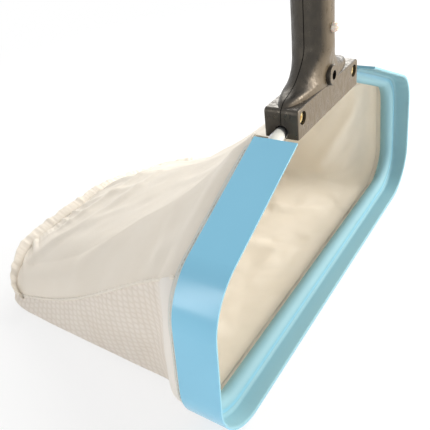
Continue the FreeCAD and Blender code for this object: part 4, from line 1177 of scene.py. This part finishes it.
@dataclass
class NetBag:
    """The bag: a top cloth and a mesh floor, sewn at the sides and gathered at the closed end."""

    depth: tuple[float, ...] = (0.0140, 0.050, 0.095, 0.140, 0.190, 0.226, 0.251)
    corner: tuple[float, ...] = (0.0370, 0.0120, 0.0090, 0.0090, 0.0080, 0.0050, 0.0010)
    crown: tuple[float, ...] = (0.1416, 0.1270, 0.0990, 0.0810, 0.0620, 0.0470, 0.0316)
    left: SideShape = LEFT_SIDE
    right: SideShape = RIGHT_SIDE
    belly: float = 0.03
    hip: float = 0.06
    crisp_to: float = 0.105
    soften_over: float = 0.055
    softness: float = 0.027
    softness_share: float = 0.9
    thickness: float = 0.7 * MM
    start: float = 11.6 * MM
    hem_offset: float = 3.75 * MM
    hem_points: int = 1600
    mouth_blend: float = 18.0 * MM
    ridge_clear: Pair = (0.068, 0.008)
    seam_end: float = 20.0 * MM
    seam_points: int = 500
    section_steps: int = 60
    bend_steps: int = 20
    sharp_deg: float = 24.0
    grid: tuple[int, int] = (241, 150)
    hoop: HoopPath = field(default_factory=HoopPath)
    creases: Creases = field(default_factory=Creases)

    def half_section(self, panel: Panel, y: float, shape: SideShape) -> np.ndarray:
        """Half of one panel's outline at a depth, from the middle to the side seam.

        Args:
            panel: Which cloth.
            y: The depth behind the hoop's plane.
            shape: Which side of the bag.

        Returns:
            Points as X and Z. The ridge, or the start of the floor's bend, has the number
            section_steps, and as many points follow it.
        """
        def read(values: Sequence[float]) -> float:
            """A size at this depth, from its values at the stations."""
            return float(spline(self.depth, values, np.array([y]))[0])

        seam = np.array((read(shape.seam_half), read(shape.seam_height)))
        near = np.linspace(0, 1, self.section_steps + 1)
        if panel is Panel.TOP:
            far = near[1:, None]
            ridge = np.array((read(shape.ridge_half), read(shape.ridge_height)))
            heights = slope(read(self.crown), ridge[1], read(shape.fall), near)
            top = np.column_stack([ridge[0] * near, heights])
            hip = ridge + (seam - ridge) * far + self.hip * (ridge[1] - seam[1]) * arch(far)
            soft = self.softness * float(ease(np.array((y - self.crisp_to) / self.soften_over)))
            most = self.softness_share * float(np.linalg.norm(seam - ridge))
            return rounded(np.vstack([top, hip]), self.section_steps, min(soft, most))
        corner = read(self.corner)
        lift = read(shape.lift)
        centre = np.array((read(shape.side) - corner, lift + corner))
        flat = np.column_stack([
            centre[0] * near, slope(read(self.left.lift), lift, read(shape.fall), near)])
        turn = math.pi / 2 * np.linspace(0, 1, self.bend_steps + 1)[1:]
        bend = centre + corner * np.column_stack([np.sin(turn), -np.cos(turn)])
        start = bend[-1]
        rest = np.linspace(0, 1, self.section_steps - self.bend_steps + 1)[1:, None]
        bulge = np.array((self.belly * (seam[1] - start[1]), 0.0))
        return np.vstack([flat, bend, start + (seam - start) * rest + bulge * arch(rest)])

    def surface(self, panel: Panel, across: np.ndarray, back: np.ndarray) -> np.ndarray:
        """Places of a panel's points, and their flat places on the cut cloth.

        Args:
            panel: Which cloth.
            across: Shares from the left seam to the right one.
            back: Shares from the mouth to the closed end.

        Returns:
            Five columns: X, Y, Z and the flat X and Y.
        """
        rows, row = np.unique(np.round(back, 6), return_inverse=True)
        depth = self.start + rows * (self.depth[-1] - self.start)
        share = np.abs(2 * across - 1)
        side = np.where(across < 0.5, -1.0, 1.0)
        placed = np.empty((len(across), 5))
        for sign, shape in ((-1.0, self.left), (1.0, self.right)):
            sections = np.array([self.half_section(panel, y, shape) for y in depth])
            steps = np.linalg.norm(np.diff(sections, axis=1), axis=2)
            reach = np.cumsum(np.pad(steps, ((0, 0), (1, 0))), axis=1)
            mine = side == sign
            at = share[mine] * (sections.shape[1] - 1)
            low = np.minimum(at.astype(int), sections.shape[1] - 2)
            part = at - low
            here = row[mine]
            point = (sections[here, low] * (1 - part)[:, None]
                     + sections[here, low + 1] * part[:, None])
            run = reach[here, low] * (1 - part) + reach[here, low + 1] * part
            placed[mine] = np.column_stack([
                sign * point[:, 0], depth[here], point[:, 1], sign * run, depth[here]])
        creased = self.creases.put(panel, placed[:, :3], share, side, self.depth)
        placed[:, :3] = self.meet_hem(creased)
        return placed

    def meet_hem(self, place: np.ndarray) -> np.ndarray:
        """Lay the cloth's mouth against the hem's tail, except under the clamp.

        Args:
            place: The points of a panel.

        Returns:
            The points, drawn to the hem near the mouth.
        """
        x, y, z = place.T
        near = 1 - ease((y - self.depth[0]) / self.mouth_blend)
        clear = ease((np.abs(x) - self.ridge_clear[0]) / self.ridge_clear[1])
        near = near * np.where(z > self.hoop.shoulder_height, clear, 1.0)
        rows = np.nonzero(near > 0)[0]
        path, _, out, _ = self.hoop.read(np.linspace(0, 1, self.hem_points))
        line = path + out * self.hem_offset
        spots = place[rows][:, (0, 2)]
        gaps = np.linalg.norm(spots[:, None, :] - line[None, :, :], axis=2)
        goal = line[np.argmin(gaps, axis=1)]
        moved = place.copy()
        moved[rows[:, None], (0, 2)] = spots + (goal - spots) * near[rows][:, None]
        moved[:, 2] = np.maximum(moved[:, 2], FLOOR_GAP)
        return moved

    def panel(self, name: str, panel: Panel, outside: bpy.types.Material,
              inside: bpy.types.Material) -> bpy.types.Object:
        """Make one of the two cloths.

        Args:
            name: The piece's name.
            panel: Which cloth.
            outside: The material of its outside.
            inside: The material of its inside.

        Returns:
            The cloth, with its thickness.
        """
        cloth = cut_cloth(name, self.grid, lambda u, v: self.surface(panel, u, v))
        face_up(cloth, panel is Panel.TOP)
        thicken(cloth, self.thickness, outside, inside)
        smooth(cloth, self.sharp_deg)
        return cloth

    def seam_line(self, side: int) -> np.ndarray:
        """The line of a side seam.

        Args:
            side: -1 for the left, 1 for the right.

        Returns:
            Its points, from the mouth to the closed end.
        """
        shape = self.left if side < 0 else self.right
        depth = np.linspace(self.depth[0], self.depth[-1] - self.seam_end, self.seam_points)
        return np.column_stack([side * spline(self.depth, shape.seam_half, depth), depth,
                                spline(self.depth, shape.seam_height, depth)])

    def build(self, cloth: bpy.types.Material, mesh: bpy.types.Material,
              lining: bpy.types.Material) -> None:
        """Make and dress every piece of the bag.

        Args:
            cloth: The woven cloth's material.
            mesh: The mesh's material.
            lining: The smooth inside of both cloths.
        """
        top = self.panel("bag_top", Panel.TOP, cloth, lining)
        dress(top, stands_for="bag_top_cloth")
        floor = self.panel("bag_floor", Panel.FLOOR, mesh, lining)
        dress(floor, stands_for="bag_floor_mesh")
        for name, side in (("seam_left", -1), ("seam_right", 1)):
            seam = SideSeam().build(name, self.seam_line(side), side)
            dress(seam, cloth, f"side_{name}")
        dress(TailCasing().build("tail_casing"), cloth, "tail_seam")


@dataclass
class RimHem:
    """The hem: a sleeve of tape round the rod, with a stitched edge that runs out behind the
    strip, and an apron under the clamp."""

    hoop: HoopPath = field(default_factory=HoopPath)
    cloth: float = 0.7 * MM
    gap: float = 0.15 * MM
    sharp_deg: float = 70.0
    wrapped_turn: float = 1.5 * math.pi
    edge_back: float = 14.4 * MM
    trim_half: float = 66.0 * MM
    trim_over: float = 9.0 * MM
    trim_share: float = 0.02
    flutter: Gathers = Gathers(61, 45.0 * MM)
    flutter_height: float = 0.4 * MM
    sleeve_grid: tuple[int, int] = (26, 520)
    apron_under: float = 1.0 * MM
    apron_front: float = 2.0 * MM
    apron_bow: float = 1.2 * MM
    apron_sag: Gathers = Gathers(71, 30.0 * MM)
    apron_sag_height: float = 0.8 * MM
    apron_tight: float = 0.86
    apron_down: float = 26.0 * MM
    apron_grid: tuple[int, int] = (120, 16)
    stitch_pitch: float = 3.4 * MM
    stitch_share: float = 0.66
    stitch_sides: int = 5
    stitch_radius: float = 0.32 * MM
    stitch_edge: float = 0.15 * MM
    stitch_back: float = 12.8 * MM
    stitch_sharp_deg: float = 60.0

    def sleeve(self, tape: bpy.types.Material, lining: bpy.types.Material) -> bpy.types.Object:
        """Make the tape round the rod: one sheet, round the rod's front and out behind it.

        Args:
            tape: The material of its outside.
            lining: The material of its inside.

        Returns:
            The sleeve.
        """
        radius = self.hoop.rod_radius + self.gap + self.cloth / 2
        fold = self.wrapped_turn * radius

        def place(u: np.ndarray, v: np.ndarray) -> np.ndarray:
            """Wrap the tape round the rod.

            Args:
                u: Shares round the rod and then back.
                v: Shares along it.

            Returns:
                Five columns, as cut_cloth takes them.
            """
            centre, _, outward, length = self.hoop.read(v)
            clear = ease((np.abs(centre[:, 0]) - self.trim_half) / self.trim_over)
            clear = np.where(centre[:, 1] < self.hoop.shoulder_height, 1.0, clear)
            tail = self.edge_back * (self.trim_share + (1 - self.trim_share) * clear)
            reach = u * (fold + tail)
            wrapped = reach < fold
            turn = np.minimum(reach, fold) / radius
            back = np.where(wrapped, radius * np.cos(turn), reach - fold)
            out = np.where(wrapped, -radius * np.sin(turn), radius)
            run = v * length
            loose = ease((reach - fold) / self.edge_back)
            out = out + self.flutter_height * self.flutter.heights(run) * loose
            spot = centre + outward * out[:, None]
            return np.column_stack([spot[:, 0], back, spot[:, 1], run, u * (fold + self.edge_back)])

        sheet = cut_cloth("hem_sleeve", self.sleeve_grid, place)
        middle = self.hoop.shoulder_height / 2
        mean = sum((polygon.center.z - middle) * polygon.normal.z * polygon.area
                   for polygon in sheet.data.polygons
                   if polygon.center.y > self.hoop.rod_radius * 2)
        if mean < 0:
            sheet.data.flip_normals()
        thicken(sheet, self.cloth, tape, lining)
        smooth(sheet, self.sharp_deg)
        return sheet

    def apron(self, bag: NetBag) -> bpy.types.Object:
        """Make the hem under the clamp, from the rod back and down to the bag's mouth.

        Args:
            bag: The bag.

        Returns:
            The apron.
        """
        half, ridge, crown = bag.left.ridge_half[0], bag.left.ridge_height[0], bag.crown[0]
        start = self.hoop.top - self.hoop.rod_radius - self.apron_under

        def place(u: np.ndarray, v: np.ndarray) -> np.ndarray:
            """Hang the cloth between the rod and the bag.

            Args:
                u: Shares across.
                v: Shares from the rod to the bag.

            Returns:
                Five columns, as cut_cloth takes them.
            """
            x = (2 * u - 1) * half
            share = np.abs(x) / half
            straight = start + (crown + (ridge - crown) * share ** 2 - start) * v
            loose = self.apron_bow + self.apron_sag_height * self.apron_sag.heights(x)
            z = straight + loose * np.sin(math.pi * v)
            z = np.where(share > self.apron_tight, np.maximum(z, straight), z)
            y = bag.depth[0] * v - self.apron_front * (1 - v)
            return np.column_stack([x, y, z, x, v * self.apron_down])

        sheet = cut_cloth("hem_apron", self.apron_grid, place)
        thicken(sheet, self.cloth)
        smooth(sheet, self.sharp_deg)
        return sheet

    def stitch(self) -> tuple[np.ndarray, list[tuple[int, ...]]]:
        """Model one lock stitch, which lies along Z.

        Returns:
            Its points and its faces.
        """
        clear_selection()
        bpy.ops.mesh.primitive_cylinder_add(
            vertices=self.stitch_sides, radius=self.stitch_radius,
            depth=self.stitch_pitch * self.stitch_share)
        pattern = bpy.context.object
        apply_modifier(pattern, "BEVEL", {"width": self.stitch_edge, "segments": 1})
        points = np.array([vertex.co[:] for vertex in pattern.data.vertices])
        faces = [tuple(polygon.vertices) for polygon in pattern.data.polygons]
        bpy.data.objects.remove(pattern)
        return points, faces

    def stitches(self) -> bpy.types.Object:
        """Make the row of lock stitches along the hem behind the strip.

        Returns:
            All the stitches, as one piece.
        """
        shape, faces = self.stitch()
        count = int(self.hoop.read(np.array([0.0]))[3] / self.stitch_pitch)
        centre, way, outward, _ = self.hoop.read((np.arange(count) + 0.5) / count)
        above = self.hoop.rod_radius + self.gap + self.cloth + self.stitch_edge
        points: list[np.ndarray] = []
        polygons: list[tuple[int, ...]] = []
        for spot, run, out in zip(centre, way, outward):
            if (spot[1] > self.hoop.shoulder_height
                    and abs(spot[0]) < self.trim_half + self.trim_over):
                continue
            first = len(points) * len(shape)
            flat = spot + out * above + shape[:, 2:] * run + shape[:, :1] * out
            points.append(np.column_stack([flat[:, 0], self.stitch_back + shape[:, 1], flat[:, 1]]))
            polygons.extend(tuple(first + index for index in face) for face in faces)
        mesh = bpy.data.meshes.new("hem_stitches")
        mesh.from_pydata(np.vstack(points).tolist(), [], polygons)
        item = add_object("hem_stitches", mesh)
        mend(item)
        smooth(item, self.stitch_sharp_deg)
        return item

    def build(self, tape: bpy.types.Material, lining: bpy.types.Material,
              thread: bpy.types.Material, bag: NetBag) -> None:
        """Make and dress the hem.

        Args:
            tape: The tape's material.
            lining: The material of the side that faces the inside of the bag.
            thread: The stitches' material.
            bag: The bag, whose mouth the hem meets.
        """
        sleeve = self.sleeve(tape, lining)
        dress(sleeve, stands_for="rim_hem")
        apron = self.apron(bag)
        dress(apron, lining)
        dress(self.stitches(), thread)


@dataclass
class SpringClip:
    """The bent steel strip behind the button: its back leg stays on the spigot's wall, and its
    front leg moves with the button."""

    still: Point = (0.0, 0.002, 0.2167)
    moving: Point = (0.0, -0.007, 0.2167)
    sharp_deg: float = 30.0

    def build(self, node: bpy.types.Object, metal: bpy.types.Material) -> None:
        """Make the strip as a copy of the frame's own, and hide the frame's.

        Args:
            node: The frame's spring.
            metal: The strip's material.
        """
        strip = add_object("spring_strip", node.data.copy())
        mend(strip, outward=False)
        strip.data.materials.clear()
        strip.data.materials.append(metal)
        smooth(strip, self.sharp_deg)
        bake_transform(strip)
        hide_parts("clip_spring")
        LOG.info("%s: %s", strip.name, metal.name)


@dataclass
class HardParts:
    """The pieces of the frame that keep their own meshes and get their finishes here."""

    finishes: dict[str, Finish] = field(default_factory=lambda: {
        "handle_front_shell": MouldedAbs(),
        "handle_rear_shell": MouldedAbs(),
        "edge_strip": SoftVinyl(),
        "frame_rod": PlatedMetal("drawn_aluminium", "D4D5D7", "C3C5C8", 0.34),
        "rod_ferrule": PlatedMetal("zinc_plated_steel", "B9BBBD", "A6A9AC", 0.36),
        "end_screws": PlatedMetal("yellow_zinc", "F5E4B2", "E8D096", 0.50),
        "centre_screw": PlatedMetal("yellow_zinc_deep", "D8B868", "C9A65A", 0.28),
        "end_nuts": PlatedMetal("zinc_nut", "C9C3AF", "B5B0A2", 0.32),
        "centre_nut": PlatedMetal("zinc_nut_centre", "C9C3AF", "B5B0A2", 0.32),
        "clip_button": TurnedAcetal(),
    })

    def build(self, nodes: dict[str, bpy.types.Object]) -> None:
        """Give every kept node its finish.

        Args:
            nodes: The frame's objects by name.
        """
        made: dict[Finish, bpy.types.Material] = {}
        for name, finish in self.finishes.items():
            if finish not in made:
                made[finish] = finish.material()
            for holder in nodes[name].material_slots:
                holder.material = made[finish]
            LOG.info("%s: %s", name, made[finish].name)


def seen_directly(add: AddNode) -> bpy.types.Node:
    """Tell what is seen, also in or through a piece, from the light on the part.

    Args:
        add: Adds a node to the material or world.

    Returns:
        1 for what is seen and 0 for the light.
    """
    path = add("LightPath").outputs
    mirrored = add("Math", LARGEST, {0: path["Is Camera Ray"], 1: path["Is Glossy Ray"]})
    return add("Math", LARGEST, {0: mirrored, 1: path["Is Transmission Ray"]})


@dataclass(frozen=True)
class StudioFloor(Finish):
    """A matt white floor that keeps the part's shadow near it and shows as white further off."""

    name: str = "studio_floor"
    paint_colour: str = "FAFAFA"
    glow_colour: str = "FFFFFF"
    glow: Pair = (0.72, 1.0)
    shadow_reach: Pair = (0.35, 1.1)

    def paint(self, add: AddNode, place: bpy.types.NodeSocket) -> bpy.types.Node:
        """Add the nodes of the floor.

        Args:
            add: Adds a node to the material.
            place: The Object coordinates, in metres.

        Returns:
            The shader that ends them.
        """
        matt = add("BsdfDiffuse", inputs={"Color": linear(self.paint_colour)})
        glow = add("Emission", inputs={"Color": linear(self.glow_colour), "Strength": 1.0})
        away = add("VectorMath", {"operation": "LENGTH"}, {0: place})
        fade = add("MapRange", EASED, {
            "Value": away} | ends("From", self.shadow_reach) | ends("To", self.glow))
        share = add("Math", TIMES, {0: seen_directly(add), 1: fade})
        return add("MixShader", inputs={0: share, 1: matt, 2: glow})


@dataclass(frozen=True)
class Lamp:
    """One soft oblong lamp, turned towards the part: its size is in metres, its power in watts."""

    name: str
    place: Point
    size: Pair
    power: float
    colour: str
    aim: Point = (0.0, 0.10, 0.06)

    def hang(self) -> None:
        """Put the lamp into the scene."""
        data = bpy.data.lights.new(self.name, "AREA")
        data.shape = "RECTANGLE"
        data.size, data.size_y = self.size
        data.energy = self.power
        data.color = linear(self.colour)[:3]
        item = add_object(self.name, data)
        item.location = self.place
        way = Vector(self.aim) - Vector(self.place)
        item.rotation_euler = way.to_track_quat("-Z", "Y").to_euler()


@dataclass
class Studio:
    """A pale floor, soft light and the camera at the photograph's angle."""

    camera_place: Point = (-0.3426, -0.1564, 0.3191)
    camera_forward: Point = (0.66591, 0.50615, -0.54807)
    camera_right: Point = (0.53651, -0.83538, -0.11962)
    lens_mm: float = 45.51
    sensor_mm: float = 36.0
    clip_start: float = 0.01
    floor_half: float = 3.0
    world_colour: str = "FFFFFF"
    world_light: Pair = (0.49, 1.0)
    lamps: tuple[Lamp, ...] = (
        Lamp("right", (1.15, 0.38, 0.78), (1.3, 1.1), 21.0, "FFFDF9"),
        Lamp("left", (-1.05, 0.55, 0.55), (0.10, 0.85), 2.7, "FFFFFF"),
        Lamp("low left", (-1.20, -0.15, 0.24), (0.6, 0.4), 1.0, "FFFFFF"),
        Lamp("front", (0.65, -1.10, 0.60), (0.9, 0.7), 25.0, "FFF8F0"))

    def camera(self) -> None:
        """Set up the camera from its forward and right directions."""
        forward = Vector(self.camera_forward).normalized()
        right = Vector(self.camera_right).normalized()
        data = bpy.data.cameras.new("camera")
        data.lens = self.lens_mm
        data.sensor_width = self.sensor_mm
        data.clip_start = self.clip_start
        item = add_object("camera", data)
        item.location = self.camera_place
        turn = np.array([right, right.cross(forward), -forward]).T
        item.rotation_euler = Matrix(turn.tolist()).to_euler()
        bpy.context.scene.camera = item

    def floor(self) -> None:
        """Lay the wide pale floor."""
        clear_selection()
        bpy.ops.mesh.primitive_plane_add(size=2 * self.floor_half, location=(0, 0, 0))
        item = bpy.context.object
        item.name = "studio_floor"
        item.data.materials.append(StudioFloor().material())
        item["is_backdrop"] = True

    def world(self) -> None:
        """A plain bright surround, white where the camera sees it."""
        world = bpy.data.worlds.new("studio")
        world.use_nodes = True
        world.node_tree.nodes.clear()
        add = partial(add_node, world.node_tree)
        strength = add("MapRange", inputs={
            "Value": seen_directly(add)} | ends("To", self.world_light))
        ground = add("Background", inputs={
            "Color": linear(self.world_colour), "Strength": strength})
        add("OutputWorld", inputs={"Surface": ground})
        bpy.context.scene.world = world

    def build(self) -> None:
        """Make the whole studio."""
        self.camera()
        for lamp in self.lamps:
            lamp.hang()
        self.floor()
        self.world()
        bpy.context.scene.view_settings.view_transform = "Standard"
        LOG.info("studio: camera, %d lamps and the floor", len(self.lamps))


def corners(box: Sequence) -> list[list[float]]:
    """A box's two corners as plain lists of numbers."""
    return [[float(value) for value in corner] for corner in box]


def main(frame: dict, cad_box: list[list[float]]) -> None:
    """Build the looks round the frame.

    Args:
        frame: The loaded frame.
        cad_box: The frame's own box; not used.
    """
    cloth = WovenPolyester().material()
    lining = WovenPolyester(
        "cloth_inside", "F7F2E8", "F0E9DB", crinkle_mm=40.0, crinkle_height_mm=7.0,
        crinkle_stretch=(1.0, 1.0, 0.45), crinkle_detail=1.0).material()
    tape = WovenPolyester(
        "woven_tape", "E2E2DC", "D5D6CF", thread_mm=1.4, crinkle_mm=14.0, crinkle_height_mm=0.15,
        glow=0.1).material()
    steel = PlatedMetal("stainless_strip", "C6C6C8", "B4B5B8", 0.30).material()
    nodes = frame["nodes"]
    HardParts().build(nodes)
    SpringClip().build(nodes["clip_spring"], steel)
    bag = NetBag()
    bag.build(cloth, PebbledMesh().material(), lining)
    RimHem().build(tape, lining, SpunThread().material(), bag)
    Studio().build()


if __name__ == "__main__":
    logging.basicConfig(level=logging.INFO, format="%(message)s")
    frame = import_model()
    main(frame, corners(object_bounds()))
